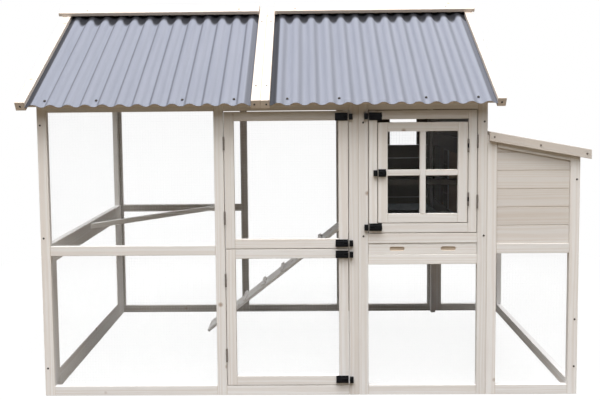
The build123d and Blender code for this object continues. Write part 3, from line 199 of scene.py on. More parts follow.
@dataclass(frozen=True)
class StainedFir(Finish):
    """Sawn and planed fir under a thin white stain: pale, faintly streaked, with grain and knots showing."""

    stain: str = "E2E2E2"
    wood: str = "C8B9AA"
    low_stain: str = "F6F7FA"
    knot: str = "9A836E"
    cover: float = 0.86
    gloss: float = 0.2
    # Rings and fibres are drawn coarser than in real fir, so that they show.
    ring_mm: float = 4.5
    fibre_mm: tuple[float, float, float] = (70.0, 1.1, 1.1)
    patch_mm: float = 78.0
    knot_spacing_mm: float = 150.0
    low_height_mm: float = 1050.0
    relief_mm: float = 0.4
    streak_stretch: float = 0.06
    patch_noise: tuple[float, float] = (0.3, 0.7)
    patchiness: float = 0.09
    edge_wear: float = 0.3
    ring_shade: Span = Span(0.15, 1.0, 0.0, 0.2)
    fibre_shade: Span = Span(0.35, 0.75, 0.0, 0.16)
    knot_core: Span = Span(0.03, 0.09, 0.75, 0.0)
    tone_spread: Span = Span(0.0, 1.0, 0.96, 1.04)
    roughness: Span = Span(0.2, 0.8, 0.58, 0.76)

    def dress(self, tree: NodeTree) -> dict[str, Any]:
        """Rings, fibres, knots and patchy stain along each timber's own length.

        Args:
            tree: The tree that gets the patterns.

        Returns:
            What each shader socket gets.
        """
        grain = add_node(tree, "ShaderNodeAttribute", attribute_name=Layer.GRAIN.value).outputs["Vector"]
        tone = add_node(tree, "ShaderNodeAttribute", attribute_name=Layer.TONE.value)
        worn = add_node(tree, "ShaderNodeAttribute", attribute_name=Layer.WORN.value)
        place = add_node(tree, "ShaderNodeTexCoord")
        streak = add_node(tree, "ShaderNodeMapping", {"Vector": grain, "Scale": (self.streak_stretch, 1, 1)})
        rings = add_node(
            tree, "ShaderNodeTexWave",
            {"Vector": streak.outputs[0], "Scale": math.tau / (WAVE_RADIANS * self.ring_mm * MM),
             "Distortion": 5.0, "Detail": 2.0, "Detail Scale": 0.35},
            wave_type="RINGS", rings_direction="X", wave_profile="SIN")
        per_fibre = [1 / (size * MM) for size in self.fibre_mm]
        along = add_node(tree, "ShaderNodeMapping", {"Vector": grain, "Scale": per_fibre})
        fibre = add_node(
            tree, "ShaderNodeTexNoise", {"Vector": along.outputs[0], "Scale": 1.0, "Detail": 3.0})
        patch = add_node(
            tree, "ShaderNodeTexNoise",
            {"Vector": streak.outputs[0], "Scale": 1 / (self.patch_mm * MM), "Detail": 4.0})
        knots = add_node(
            tree, "ShaderNodeTexVoronoi",
            {"Vector": grain, "Scale": 1 / (self.knot_spacing_mm * MM), "Randomness": 1.0})
        core = add_node(tree, "ShaderNodeMapRange", self.knot_core.of(knots.outputs[0]))
        ring_shade = add_node(tree, "ShaderNodeMapRange", self.ring_shade.of(rings.outputs[1]))
        fibre_shade = add_node(tree, "ShaderNodeMapRange", self.fibre_shade.of(fibre.outputs[0]))
        thin = 1 - self.cover
        thinning = Span(*self.patch_noise, thin - self.patchiness, thin + self.patchiness)
        bare = add_node(tree, "ShaderNodeMapRange", thinning.of(patch.outputs[0]))
        figure = add_node(tree, "ShaderNodeMath", {0: ring_shade.outputs[0], 1: fibre_shade.outputs[0]})
        show = add_node(tree, "ShaderNodeMath", {0: figure.outputs[0], 1: bare.outputs[0]}, use_clamp=True)
        split = add_node(tree, "ShaderNodeSeparateXYZ", {0: place.outputs["Object"]})
        from_ground = Span(0.0, self.low_height_mm * MM, 1.0, 0.0)
        low = add_node(tree, "ShaderNodeMapRange", from_ground.of(split.outputs["Z"]))
        rubbed = add_node(
            tree, "ShaderNodeMath", {0: worn.outputs["Fac"], 1: self.edge_wear}, operation="MULTIPLY")
        colour = layered(tree, self.stain, (
            (low.outputs[0], self.low_stain), (show.outputs[0], self.wood),
            (core.outputs[0], self.knot), (rubbed.outputs[0], self.wood)))
        value = add_node(tree, "ShaderNodeMapRange", self.tone_spread.of(tone.outputs["Fac"]))
        toned = add_node(tree, "ShaderNodeHueSaturation", {"Color": colour, "Value": value.outputs[0]})
        rough = add_node(tree, "ShaderNodeMapRange", self.roughness.of(fibre.outputs[0]))
        relief = add_node(tree, "ShaderNodeMath", {0: figure.outputs[0], 1: core.outputs[0]})
        bump = add_node(
            tree, "ShaderNodeBump",
            {"Height": relief.outputs[0], "Strength": 0.35, "Distance": self.relief_mm * MM}, invert=True)
        return {"Base Color": toned.outputs[0], "Roughness": rough.outputs[0], "Normal": bump.outputs[0],
                "Specular IOR Level": self.gloss}


@dataclass(frozen=True)
class PaintedShadeBand:
    """A band of painted shade: where its middle lies, how far it is full, where it ends and how strong it is.
    """

    middle: float
    full: float
    end: float
    strength: float

    def amount_at(self, tree: NodeTree, value: NodeSocket) -> Node:
        """Add the nodes that give the band's strength at a place.

        Args:
            tree: The tree that gets the nodes.
            value: The place, in the band's own unit.

        Returns:
            The node whose first output is the strength.
        """
        off = add_node(tree, "ShaderNodeMath", {0: value, 1: self.middle}, operation="SUBTRACT")
        away = add_node(tree, "ShaderNodeMath", {0: off.outputs[0]}, operation="ABSOLUTE")
        fade = Span(self.full, self.end, self.strength, 0.0)
        return add_node(
            tree, "ShaderNodeMapRange", fade.of(away.outputs[0]), interpolation_type="SMOOTHSTEP")


@dataclass(frozen=True)
class CoatedSheet(Finish):
    """Factory-coated corrugated sheet: dull, with rain streaks and dust, and painted shade on its waves and
    at the ridge.

    The mesh carries each point's place across the waves, counted in waves from the trough at the sheet's
    left side, its rise above the troughs and its distance below the ridge board.
    """

    coat: str = "7B7E89"
    streak: str = "6D717D"
    dust: str = "858892"
    # Colour of the painted shade on the wave flanks and beside the rafters, and of the painted shadow under
    # the ridge board.
    painted_shade: str = "0E0E13"
    gloss: float = 0.2
    streak_mm: float = 14.0
    # Dust is drawn coarser than real, so that it shows.
    dust_mm: float = 3.0
    relief_mm: float = 0.2
    streak_stretch: float = 0.03
    streaking: Span = Span(0.4, 0.75, 0.0, 0.45)
    dusting: Span = Span(0.5, 0.8, 0.0, 0.3)
    roughness: Span = Span(0.3, 0.8, 0.56, 0.74)
    waves: int = 13
    # Painted shade bands: one flank of each wave, each side beside a rafter, and painted shadow below the
    # ridge board.
    flank: PaintedShadeBand = PaintedShadeBand(0.2, 0.03, 0.09, 0.45)
    left_side: PaintedShadeBand = PaintedShadeBand(0.16, 0.17, 0.28, 0.85)
    right_side: PaintedShadeBand = PaintedShadeBand(0.14, 0.18, 0.3, 0.5)
    ridge: PaintedShadeBand = PaintedShadeBand(0.0, 60 * MM, 100 * MM, 0.96)
    ridge_rise_reach: float = 2.3

    def dress(self, tree: NodeTree) -> dict[str, Any]:
        """Streaks run down both slopes, as the pattern only stretches across the depth.

        Args:
            tree: The tree that gets the patterns.

        Returns:
            What each shader socket gets.
        """
        place = add_node(tree, "ShaderNodeTexCoord").outputs["Object"]
        across = 1 / (self.streak_mm * MM)
        down = across * self.streak_stretch
        run = add_node(tree, "ShaderNodeMapping", {"Vector": place, "Scale": (across, down, down)})
        streaks = add_node(
            tree, "ShaderNodeTexNoise", {"Vector": run.outputs[0], "Scale": 1.0, "Detail": 3.0})
        specks = add_node(
            tree, "ShaderNodeTexNoise", {"Vector": place, "Scale": 1 / (self.dust_mm * MM), "Detail": 2.0})
        streaked = add_node(tree, "ShaderNodeMapRange", self.streaking.of(streaks.outputs[0]))
        dusty = add_node(tree, "ShaderNodeMapRange", self.dusting.of(specks.outputs[0]))
        # Streaks and dust are the sheet's own colour; the last layer is painted shade and painted shadow.
        colour = layered(tree, self.coat, (
            (streaked.outputs[0], self.streak), (dusty.outputs[0], self.dust),
            (self.painted_shade_amount(tree), self.painted_shade)))
        rough = add_node(tree, "ShaderNodeMapRange", self.roughness.of(specks.outputs[0]))
        bump = add_node(
            tree, "ShaderNodeBump",
            {"Height": specks.outputs[0], "Strength": 0.12, "Distance": self.relief_mm * MM})
        return {"Base Color": colour, "Roughness": rough.outputs[0], "Normal": bump.outputs[0],
                "Specular IOR Level": self.gloss}

    def painted_shade_amount(self, tree: NodeTree) -> NodeSocket:
        """Painted shade on one flank of each wave and beside the rafters; painted shadow under the ridge
        board.

        Under the board it reaches furthest down in the troughs.

        Args:
            tree: The tree that gets the nodes.

        Returns:
            The socket that gives the amount.
        """
        place = add_node(tree, "ShaderNodeAttribute", attribute_name=Layer.SHEET.value)
        parts = add_node(tree, "ShaderNodeSeparateXYZ", {0: place.outputs["Vector"]})
        across, rise, below = parts.outputs
        phase = add_node(tree, "ShaderNodeMath", {0: across}, operation="FRACT")
        from_right = add_node(tree, "ShaderNodeMath", {0: float(self.waves), 1: across}, operation="SUBTRACT")
        reach = add_node(
            tree, "ShaderNodeMath", {0: rise, 1: self.ridge_rise_reach, 2: below}, operation="MULTIPLY_ADD")
        most = self.flank.amount_at(tree, phase.outputs[0])
        for band, value in (
                (self.left_side, across), (self.right_side, from_right.outputs[0]),
                (self.ridge, reach.outputs[0])):
            most = add_node(
                tree, "ShaderNodeMath", {0: most.outputs[0], 1: band.amount_at(tree, value).outputs[0]},
                operation="MAXIMUM")
        return most.outputs[0]


@dataclass(frozen=True)
class Zinc(Finish):
    """Hot-dip galvanised steel: bright grey with a crystal spangle."""

    bright: str
    dull: str
    spangle_mm: float = 9.0
    roughness: float = 0.38
    smoother: float = 0.08
    rougher: float = 0.1

    def dress(self, tree: NodeTree) -> dict[str, Any]:
        """Each crystal has its own shade and gloss.

        Args:
            tree: The tree that gets the patterns.

        Returns:
            What each shader socket gets.
        """
        place = add_node(tree, "ShaderNodeTexCoord")
        crystals = add_node(
            tree, "ShaderNodeTexVoronoi",
            {"Vector": place.outputs["Object"], "Scale": 1 / (self.spangle_mm * MM), "Randomness": 1.0})
        split = add_node(tree, "ShaderNodeSeparateColor", {0: crystals.outputs["Color"]})
        colour = layered(tree, self.bright, [(split.outputs[0], self.dull)])
        spread = Span(0.0, 1.0, self.roughness - self.smoother, self.roughness + self.rougher)
        rough = add_node(tree, "ShaderNodeMapRange", spread.of(split.outputs[1]))
        return {"Base Color": colour, "Roughness": rough.outputs[0], "Metallic": 1.0}


@dataclass(frozen=True)
class CoatedSteel(Finish):
    """Coated or browned steel fittings: an orange-peel skin, rubbed paler along the edges."""

    coat: str
    rubbed: str
    roughness: float = 0.4
    gloss: float = 0.5
    metallic: float = 0.0
    # The skin is drawn coarser than real, so that it shows.
    peel_mm: float = 1.6
    patch_mm: float = 19.2
    relief_mm: float = 0.1
    patch_noise: tuple[float, float] = (0.3, 0.7)
    smoother: float = 0.07
    rougher: float = 0.1
    tint: Span = Span(0.45, 0.8, 0.0, 0.25)

    def dress(self, tree: NodeTree) -> dict[str, Any]:
        """The skin is uneven, and bevelled edges show wear.

        Args:
            tree: The tree that gets the patterns.

        Returns:
            What each shader socket gets.
        """
        place = add_node(tree, "ShaderNodeTexCoord").outputs["Object"]
        worn = add_node(tree, "ShaderNodeAttribute", attribute_name=Layer.WORN.value)
        peel = add_node(
            tree, "ShaderNodeTexNoise", {"Vector": place, "Scale": 1 / (self.peel_mm * MM), "Detail": 2.0})
        patchy = add_node(
            tree, "ShaderNodeTexNoise", {"Vector": place, "Scale": 1 / (self.patch_mm * MM), "Detail": 3.0})
        amount = add_node(
            tree, "ShaderNodeMath", {0: worn.outputs["Fac"], 1: patchy.outputs[0]}, operation="MULTIPLY")
        tint = add_node(tree, "ShaderNodeMapRange", self.tint.of(patchy.outputs[0]))
        show = add_node(tree, "ShaderNodeMath", {0: amount.outputs[0], 1: tint.outputs[0]}, use_clamp=True)
        colour = layered(tree, self.coat, [(show.outputs[0], self.rubbed)])
        spread = Span(*self.patch_noise, self.roughness - self.smoother, self.roughness + self.rougher)
        rough = add_node(tree, "ShaderNodeMapRange", spread.of(patchy.outputs[0]))
        bump = add_node(
            tree, "ShaderNodeBump",
            {"Height": peel.outputs[0], "Strength": 0.15, "Distance": self.relief_mm * MM})
        return {"Base Color": colour, "Roughness": rough.outputs[0], "Normal": bump.outputs[0],
                "Specular IOR Level": self.gloss, "Metallic": self.metallic}


@dataclass(frozen=True)
class ClearPlastic(Finish):
    """Thin clear acrylic: glossy, slightly wavy, with faint smears."""

    tint: str = "FBFCFC"
    index: float = 1.12
    gloss: float = 0.12
    wave_mm: float = 90.0
    smear_mm: float = 35.0
    relief_mm: float = 2.0
    roughness: Span = Span(0.5, 0.8, 0.02, 0.12)

    def dress(self, tree: NodeTree) -> dict[str, Any]:
        """Waves bend the reflections, and smears dull them in places.

        Args:
            tree: The tree that gets the patterns.

        Returns:
            What each shader socket gets.
        """
        place = add_node(tree, "ShaderNodeTexCoord").outputs["Object"]
        waves = add_node(
            tree, "ShaderNodeTexNoise",
            {"Vector": place, "Scale": 1 / (self.wave_mm * MM), "Detail": 1.0, "Distortion": 1.5})
        smears = add_node(
            tree, "ShaderNodeTexNoise", {"Vector": place, "Scale": 1 / (self.smear_mm * MM), "Detail": 5.0})
        rough = add_node(tree, "ShaderNodeMapRange", self.roughness.of(smears.outputs[0]))
        bump = add_node(
            tree, "ShaderNodeBump",
            {"Height": waves.outputs[0], "Strength": 0.3, "Distance": self.relief_mm * MM})
        return {"Base Color": linear(self.tint), "Roughness": rough.outputs[0], "Normal": bump.outputs[0],
                "Transmission Weight": 1.0, "Specular IOR Level": self.gloss, "IOR": self.index}


# Planed fir under one thin coat: chalky, with a faint grain.
FIR = StainedFir("whitewashed_fir")
# The lid's fascia, a little greyer as painted shade.
FASCIA_SHADE_FIR = StainedFir("whitewashed_fir_fascia_painted_shade", stain="CAC6C2", low_stain="CAC6C2", cover=0.9)
# Nest boards with a thinner coat: duller, with warmer grain.
BOARD_FIR = StainedFir("whitewashed_fir_boards", stain="D2D0CE", wood="BFAC99", low_stain="E8E7E8")
# Roof timbers: creamy, as more of the wood shows.
ROOF_FIR = StainedFir("whitewashed_fir_roof", stain="DAD3CC", wood="B49C86", cover=0.84)
# Finger slots routed after the coat: nearly bare and tan.
SLOT_FIR = StainedFir("routed_fir", stain="D6CBBF", wood="BBA68E", low_stain="D6CBBF", cover=0.75)
# Ramp and perch: almost white, whiter than the other timber as painted light.
RAMP_LIT_FIR = StainedFir("whitewashed_fir_ramp_painted_light", stain="FAFAFA", wood="E6DCD2", low_stain="FCFCFC", cover=0.92)
# Inner faces of the back frames: dull and brownish, as painted shade for the shade under the roof.
BACK_SHADE_FIR = StainedFir("back_frame_painted_shade_fir", stain="C2BFBA", wood="A39484", low_stain="C2BFBA", cover=0.8)
# Walls and roost bars inside the house: bare fir, darkened to a dim brown as painted shade for the dark
# inside.
INNER_SHADE_FIR = StainedFir("bare_inner_fir_painted_shade", stain="7C7166", wood="62564A", low_stain="7C7166", cover=0.7)
# Nest floor and the walls between nests, planed and bare: warm tan.
BARE_FIR = StainedFir("bare_planed_fir", stain="C9B7A3", wood="A88A6C", low_stain="C9B7A3", cover=0.7)
# Factory-painted steel sheet, slate blue and dull; painted shade on the flanks that look to a sheet's end of
# the roof.
LEFT_ROOF_COAT = CoatedSheet("slate_blue_coated_sheet_left")
RIGHT_ROOF_COAT = CoatedSheet("slate_blue_coated_sheet_right", flank=PaintedShadeBand(0.76, 0.05, 0.24, 0.24))
# Galvanised wire: bright, with small crystals.
ZINC_WIRE = Zinc("galvanised_wire", bright="F2F3F3", dull="E6E8E8", spangle_mm=4.0, roughness=0.45)
# The same wire behind the pane: grey and without sparkle, as painted shade.
SHADED_WIRE = Zinc("galvanised_wire_painted_shade", bright="8E9090", dull="787A7A", spangle_mm=4.0, roughness=0.6)
# Galvanised sheet of the tray: mid grey, with large crystals.
ZINC_SHEET = Zinc("galvanised_sheet", bright="888C8E", dull="787C7E")
# Black coat on the slide bolts: nearly black, and dull.
BLACK_COAT = CoatedSteel("black_coated_steel", coat="08080A", rubbed="26262A", gloss=0.1)
# Browned steel of the hinges: a soft brownish shine.
HINGE_STEEL = CoatedSteel(
    "browned_hinge_steel", coat="6E6660", rubbed="958C84", roughness=0.36, metallic=0.7)
# Browned screw heads: darker, with bright rims.
SCREW_STEEL = CoatedSteel(
    "browned_screw_steel", coat="3A3532", rubbed="7A726B", roughness=0.38, metallic=0.6)
# Extruded acrylic sheet: clear, so that the dark inside shows.
PANE_PLASTIC = ClearPlastic("clear_acrylic_pane")


def merged(node: str) -> BMesh:
    """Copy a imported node's mesh with its loose triangles joined and its flat faces made whole.

    Args:
        node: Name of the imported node.

    Returns:
        A new bmesh.
    """
    bm = bmesh.new()
    bm.from_mesh(frame["nodes"][node].data)
    bmesh.ops.remove_doubles(bm, verts=bm.verts[:], dist=MERGE_REACH)
    bmesh.ops.dissolve_limit(
        bm, angle_limit=FLAT_WITHIN, verts=bm.verts[:], edges=bm.edges[:], use_dissolve_boundaries=False)
    return bm


def joined(seeds: Iterable[BMVert]) -> list[BMVert]:
    """Gather every vertex that edges join to some seed vertices.

    Args:
        seeds: The vertices to start from.

    Returns:
        The vertices, in the same order each run.
    """
    found = dict.fromkeys(seeds)
    waiting = list(found)
    while waiting:
        vert = waiting.pop()
        for edge in vert.link_edges:
            other = edge.other_vert(vert)
            if other not in found:
                found[other] = None
                waiting.append(other)
    return list(found)


def solids(bm: BMesh) -> Iterator[list[BMVert]]:
    """Walk the separate solids of a mesh, in the order of its vertices.

    Args:
        bm: The mesh.

    Returns:
        The vertices of one solid at a time.
    """
    seen = set()
    for vert in bm.verts:
        if vert not in seen:
            found = joined([vert])
            seen.update(found)
            yield found


def corners(verts: list[BMVert]) -> tuple[Vector, Vector]:
    """Find the lowest and highest corner of some vertices.

    Args:
        verts: The vertices.

    Returns:
        The two corners.
    """
    low = Vector(min(v.co[i] for v in verts) for i in range(3))
    high = Vector(max(v.co[i] for v in verts) for i in range(3))
    return low, high


def ease(bm: BMesh, arris: float, segments: int, over_deg: float = 30.0) -> None:
    """Round the sharp edges and mark the new faces as worn.

    Args:
        bm: The mesh, changed in place.
        arris: Width of the bevel.
        segments: Steps of the bevel.
        over_deg: Edges that turn by more than this are rounded.
    """
    worn = bm.faces.layers.float.get(Layer.WORN.value) or bm.faces.layers.float.new(Layer.WORN.value)
    over = math.radians(over_deg)
    sharp = [e for e in bm.edges if len(e.link_faces) == 2 and e.calc_face_angle(0.0) > over]
    made = bmesh.ops.bevel(
        bm, geom=sharp, offset=arris, offset_type="OFFSET", segments=segments, profile=0.5, affect="EDGES",
        material=-1, clamp_overlap=True)
    for face in made["faces"]:
        face[worn] = 1.0


def place_piece(name: str, bm: BMesh, finishes: list[Finish], node: str, crease_deg: float = 20.0) -> None:
    """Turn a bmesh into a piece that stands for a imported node.

    Args:
        name: Name of the piece.
        bm: Its mesh, freed here.
        finishes: Its finishes, in the order of its face material numbers.
        node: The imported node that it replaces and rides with.
        crease_deg: Edges that turn by more than this look sharp.
    """
    mesh = bpy.data.meshes.new(name)
    bm.to_mesh(mesh)
    bm.free()
    mesh.polygons.foreach_set("use_smooth", [True] * len(mesh.polygons))
    mesh.set_sharp_from_angle(angle=math.radians(crease_deg))
    piece = bpy.data.objects.new(name, mesh)
    bpy.context.scene.collection.objects.link(piece)
    for finish in finishes:
        mesh.materials.append(finish.material())
    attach(piece, BODY_OF[node])
    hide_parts(node)
    LOG.info("%s: %d faces", name, len(mesh.polygons))


@dataclass
class Joinery:
    """Timber work: eased arrises, and grain along each timber's own length."""

    finish: Finish = FIR
    arris: float = TIMBER_ARRIS
    segments: int = 2
    lining: Finish | None = None
    inward: Facing = Facing.FRONT
    square_on: float = 0.9
    end_face: float = 0.2
    stem_length: float = 9.0
    pith_aside: float = 0.03
    pith_depth: tuple[float, float] = (0.03, 0.09)

    def make(self, node: str) -> None:
        """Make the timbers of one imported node."""
        self.work(merged(node), node)

    def work(self, bm: BMesh, node: str) -> None:
        """Finish timbers, with the lining on the faces that look inward.

        Args:
            bm: The timbers, freed here.
            node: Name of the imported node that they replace.
        """
        self.lay_grain(bm, random.Random(node))
        finishes = [self.finish]
        if self.lining:
            finishes.append(self.lining)
            for face in bm.faces:
                face.material_index = int(face.normal.dot(self.inward.value) > self.square_on)
        ease(bm, self.arris, self.segments)
        place_piece(node + "_timber", bm, finishes, node)

    def lay_grain(self, bm: BMesh, dice: random.Random) -> None:
        """Give each timber coordinates along, across and through it, from its own place in a log.

        Args:
            bm: The mesh, changed in place.
            dice: Seeded source of each timber's place and tone.
        """
        for parts in (bm.verts, bm.edges, bm.faces):
            parts.index_update()
        grain = bm.verts.layers.float_vector.new(Layer.GRAIN.value)
        tone = bm.verts.layers.float.new(Layer.TONE.value)
        for verts in list(solids(bm)):
            edges = {e for v in verts for e in v.link_edges}
            faces = {f for v in verts for f in v.link_faces}
            longest = max(edges, key=lambda e: (round(e.calc_length(), 5), e.index))
            along = (longest.verts[1].co - longest.verts[0].co).normalized()
            flat = [f for f in faces if abs(f.normal.dot(along)) < self.end_face] or list(faces)
            widest = max(flat, key=lambda f: (round(f.calc_area(), 6), f.index))
            through = (widest.normal - along * widest.normal.dot(along)).normalized()
            across = through.cross(along)
            pith = Vector((
                dice.uniform(0, self.stem_length), dice.uniform(-self.pith_aside, self.pith_aside),
                dice.uniform(*self.pith_depth)))
            middle = sum((v.co for v in verts), Vector()) / len(verts)
            shade = dice.random()
            for vert in verts:
                offset = vert.co - middle
                vert[grain] = Vector((offset.dot(along), offset.dot(across), offset.dot(through))) + pith
                vert[tone] = shade


@dataclass
class Netting:
    """Welded wire netting in every bay of a node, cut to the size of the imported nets."""

    finish: Finish = ZINC_WIRE
    pitch: float = 12.7 * MM
    # Real wire is about 1 mm thick; every net is drawn finer, because the photo hardly shows them.
    wire: float = 0.3 * MM
    sides: int = 6
    gable_foot: float = 1.33
    weld_reach: float = 0.4 * MM
    crease_deg: float = 70.0

    def make(self, node: str) -> None:
        """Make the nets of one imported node.

        Args:
            node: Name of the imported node.
        """
        source = merged(node)
        bm = bmesh.new()
        for low, high in self.bays([corners(verts) for verts in solids(source)]):
            self.weave(bm, low, high)
        source.free()
        place_piece(node + "_wire", bm, [self.finish], node, self.crease_deg)

    def bays(self, wires: list[tuple[Vector, Vector]]) -> list[tuple[Vector, Vector]]:
        """Gather crossing wires into the boxes of whole nets.

        Args:
            wires: Lowest and highest corner of each packed wire.

        Returns:
            Lowest and highest corner of each net.
        """
        found = []
        waiting = list(wires)
        while waiting:
            low, high = (corner.copy() for corner in waiting.pop())
            grown = True
            while grown:
                grown = False
                for wire in waiting[:]:
                    apart = max(max(wire[0][i] - high[i], low[i] - wire[1][i]) for i in range(3))
                    if apart < self.weld_reach:
                        low = Vector(map(min, low, wire[0]))
                        high = Vector(map(max, high, wire[1]))
                        waiting.remove(wire)
                        grown = True
            found.append((low, high))
        return found

    def weave(self, bm: BMesh, low: Vector, high: Vector) -> None:
        """Lay the upright and level wires of one net.

        Args:
            bm: The mesh that gets the wires.
            low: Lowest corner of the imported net.
            high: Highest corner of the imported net.
        """
        size = high - low
        thin = 1 if size.y < size.x else 0
        run = 1 - thin
        gable = low.z > self.gable_foot
        slope = math.tan(ROOF_PITCH)
        middle = (low + high) / 2
        columns = round(size[run] / self.pitch)
        for i in range(columns + 1):
            along = low[run] + self.wire / 2 + i * (size[run] - self.wire) / columns
            top = high.z - abs(along - middle[run]) * slope if gable else high.z
            if top - low.z < self.pitch:
                continue
            centre = Vector((0, 0, (low.z + top) / 2))
            centre[run] = along
            centre[thin] = middle[thin] + self.wire / 2
            self.rod(bm, centre, Matrix(), top - low.z)
        rows = round(size.z / self.pitch)
        turn = Matrix.Rotation(math.pi / 2, 4, "Y" if run == 0 else "X")
        for i in range(rows + 1):
            height = low.z + self.wire / 2 + i * (size.z - self.wire) / rows
            length = min(size[run], 2 * (high.z - height) / slope) if gable else size[run]
            if length < self.pitch:
                continue
            centre = Vector((0, 0, height))
            centre[run] = middle[run]
            centre[thin] = middle[thin] - self.wire / 2
            self.rod(bm, centre, turn, length)

    def rod(self, bm: BMesh, centre: Vector, turn: Matrix, length: float) -> None:
        """Add one straight wire.

        Args:
            bm: The mesh that gets the wire.
            centre: Its middle.
            turn: Turns the upright wire to its direction.
            length: Its length.
        """
        bmesh.ops.create_cone(
            bm, cap_ends=True, segments=self.sides, radius1=self.wire / 2, radius2=self.wire / 2,
            depth=length, matrix=Matrix.Translation(centre) @ turn)


@dataclass
class Metalwork:
    """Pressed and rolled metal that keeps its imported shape, with rounded edges."""

    finish: Finish
    arris: float
    segments: int = 2
    crease_deg: float = 32.0
    sharp_deg: float = 50.0

    def make(self, node: str) -> None:
        """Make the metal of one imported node.

        Args:
            node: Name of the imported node.
        """
        bm = merged(node)
        ease(bm, self.arris, self.segments, self.sharp_deg)
        place_piece(node + "_metal", bm, [self.finish], node, self.crease_deg)


@dataclass
class ScrewHeads:
    """Cross-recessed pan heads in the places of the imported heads.

    The profile and the cross are shares of a head's radius and height.
    """

    facing: Facing
    finish: Finish = SCREW_STEEL
    sides: int = 16
    profile: tuple[tuple[float, float], ...] = ((1.0, 0.0), (1.0, 0.45), (0.86, 0.8), (0.5, 1.0))
    rim: float = 0.1
    recess: float = 0.55
    cross_arm: float = 0.92
    cross_waist: float = 0.38
    arm_from: float = 0.6
    crease_deg: float = 40.0

    def make(self, node: str) -> None:
        """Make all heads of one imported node.

        Args:
            node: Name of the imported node.
        """
        source = merged(node)
        bm = bmesh.new()
        for verts in list(solids(source)):
            self.head(bm, verts)
        source.free()
        place_piece(node + "_heads", bm, [self.finish], node, self.crease_deg)

    def head(self, bm: BMesh, verts: list[BMVert]) -> None:
        """Turn one head on its packed axis.

        Args:
            bm: The mesh that gets the head.
            verts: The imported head.
        """
        faces = dict.fromkeys(f for v in verts for f in v.link_faces)
        cap = max(faces, key=lambda f: (round(f.calc_area(), 9), f.normal.dot(self.facing.value)))
        axis = cap.normal if cap.normal.dot(self.facing.value) > 0 else -cap.normal
        middle = sum((v.co for v in verts), Vector()) / len(verts)
        heights = [(v.co - middle).dot(axis) for v in verts]
        foot, height = min(heights), max(heights) - min(heights)
        radius = max(((v.co - middle) - axis * (v.co - middle).dot(axis)).length for v in verts)
        ring = [bm.verts.new((x * radius, 0, z * height)) for x, z in self.profile]
        rail = [bm.edges.new(pair) for pair in zip(ring, ring[1:])]
        spun = bmesh.ops.spin(
            bm, geom=ring + rail, cent=(0, 0, 0), axis=(0, 0, 1), angle=math.tau, steps=self.sides,
            use_merge=True)
        seeds = [v for v in (*ring, *spun["geom_last"]) if isinstance(v, BMVert) and v.is_valid]
        edges = dict.fromkeys(e for v in joined(seeds) for e in v.link_edges if e.is_boundary)
        mouth = [e for e in edges if min(v.co.z for v in e.verts) > (1 - self.rim) * height]
        base = [e for e in edges if max(v.co.z for v in e.verts) < self.rim * height]
        bmesh.ops.contextual_create(bm, geom=base)
        sunk = bmesh.ops.extrude_edge_only(bm, edges=mouth)["geom"]
        for vert in [g for g in sunk if isinstance(g, BMVert)]:
            lobe = abs(math.cos(2 * math.atan2(vert.co.y, vert.co.x)))
            vert.co.xy *= self.cross_arm if lobe > self.arm_from else self.cross_waist
            vert.co.z = height * (1 - self.recess)
        pit = [g for g in sunk if isinstance(g, BMEdge) and g.is_boundary]
        bmesh.ops.contextual_create(bm, geom=pit)
        shell = joined(seeds)
        bmesh.ops.recalc_face_normals(bm, faces=list(dict.fromkeys(f for v in shell for f in v.link_faces)))
        turn = Facing.UP.value.rotation_difference(axis).to_matrix().to_4x4()
        bmesh.ops.transform(bm, matrix=Matrix.Translation(middle + axis * foot) @ turn, verts=shell)


@dataclass
class Run:
    """The netted run: three frames, their nets, the corner perch and the ramp."""

    fitments: tuple[str, ...] = ("run_perch", "ramp")
    nets: tuple[str, ...] = ("run_front_mesh", "run_back_mesh")
    arris: float = TIMBER_ARRIS
    wire: float = 0.3 * MM
    slanting_wire: float = 0.2 * MM
    trim: float = 4 * MM
    trim_stiles: tuple[float, float] = (92 * MM, 150 * MM)
    trim_foot: float = 92 * MM
    trim_head: tuple[float, float] = (602 * MM, 689 * MM)

    def build(self) -> None:
        """Make the timbers, then the nets."""
        Joinery(arris=self.arris).make("run_front_frame")
        self.left_frame()
        # The back frame's faces towards the front get the darker finish as painted shade.
        Joinery(arris=self.arris, lining=BACK_SHADE_FIR, inward=Facing.FRONT).make("run_back_frame")
        # Ramp and perch get the whiter copy of the whitewash as painted light.
        for node in self.fitments:
            Joinery(RAMP_LIT_FIR, self.arris).make(node)
        for node in self.nets:
            Netting(wire=self.wire).make(node)
        Netting(wire=self.slanting_wire).make("run_left_mesh")

    def left_frame(self) -> None:
        """Make the left frame, with the thin boards that clamp its lower net."""
        bm = merged("run_left_frame")
        low, high = corners(bm.verts[:])
        near, far = low.y + self.trim_stiles[0], high.y - self.trim_stiles[1]
        stile = (low.z, self.trim_head[1])
        for y, z in (
                ((low.y, near), stile), ((far, high.y), stile),
                ((near, far), (low.z, self.trim_foot)), ((near, far), self.trim_head)):
            size = Vector((self.trim, y[1] - y[0], z[1] - z[0]))
            middle = Vector((high.x + self.trim / 2, sum(y) / 2, sum(z) / 2))
            bmesh.ops.create_cube(bm, size=1.0, matrix=Matrix.LocRotScale(middle, None, size))
        bm.normal_update()
        Joinery(arris=self.arris).work(bm, "run_left_frame")


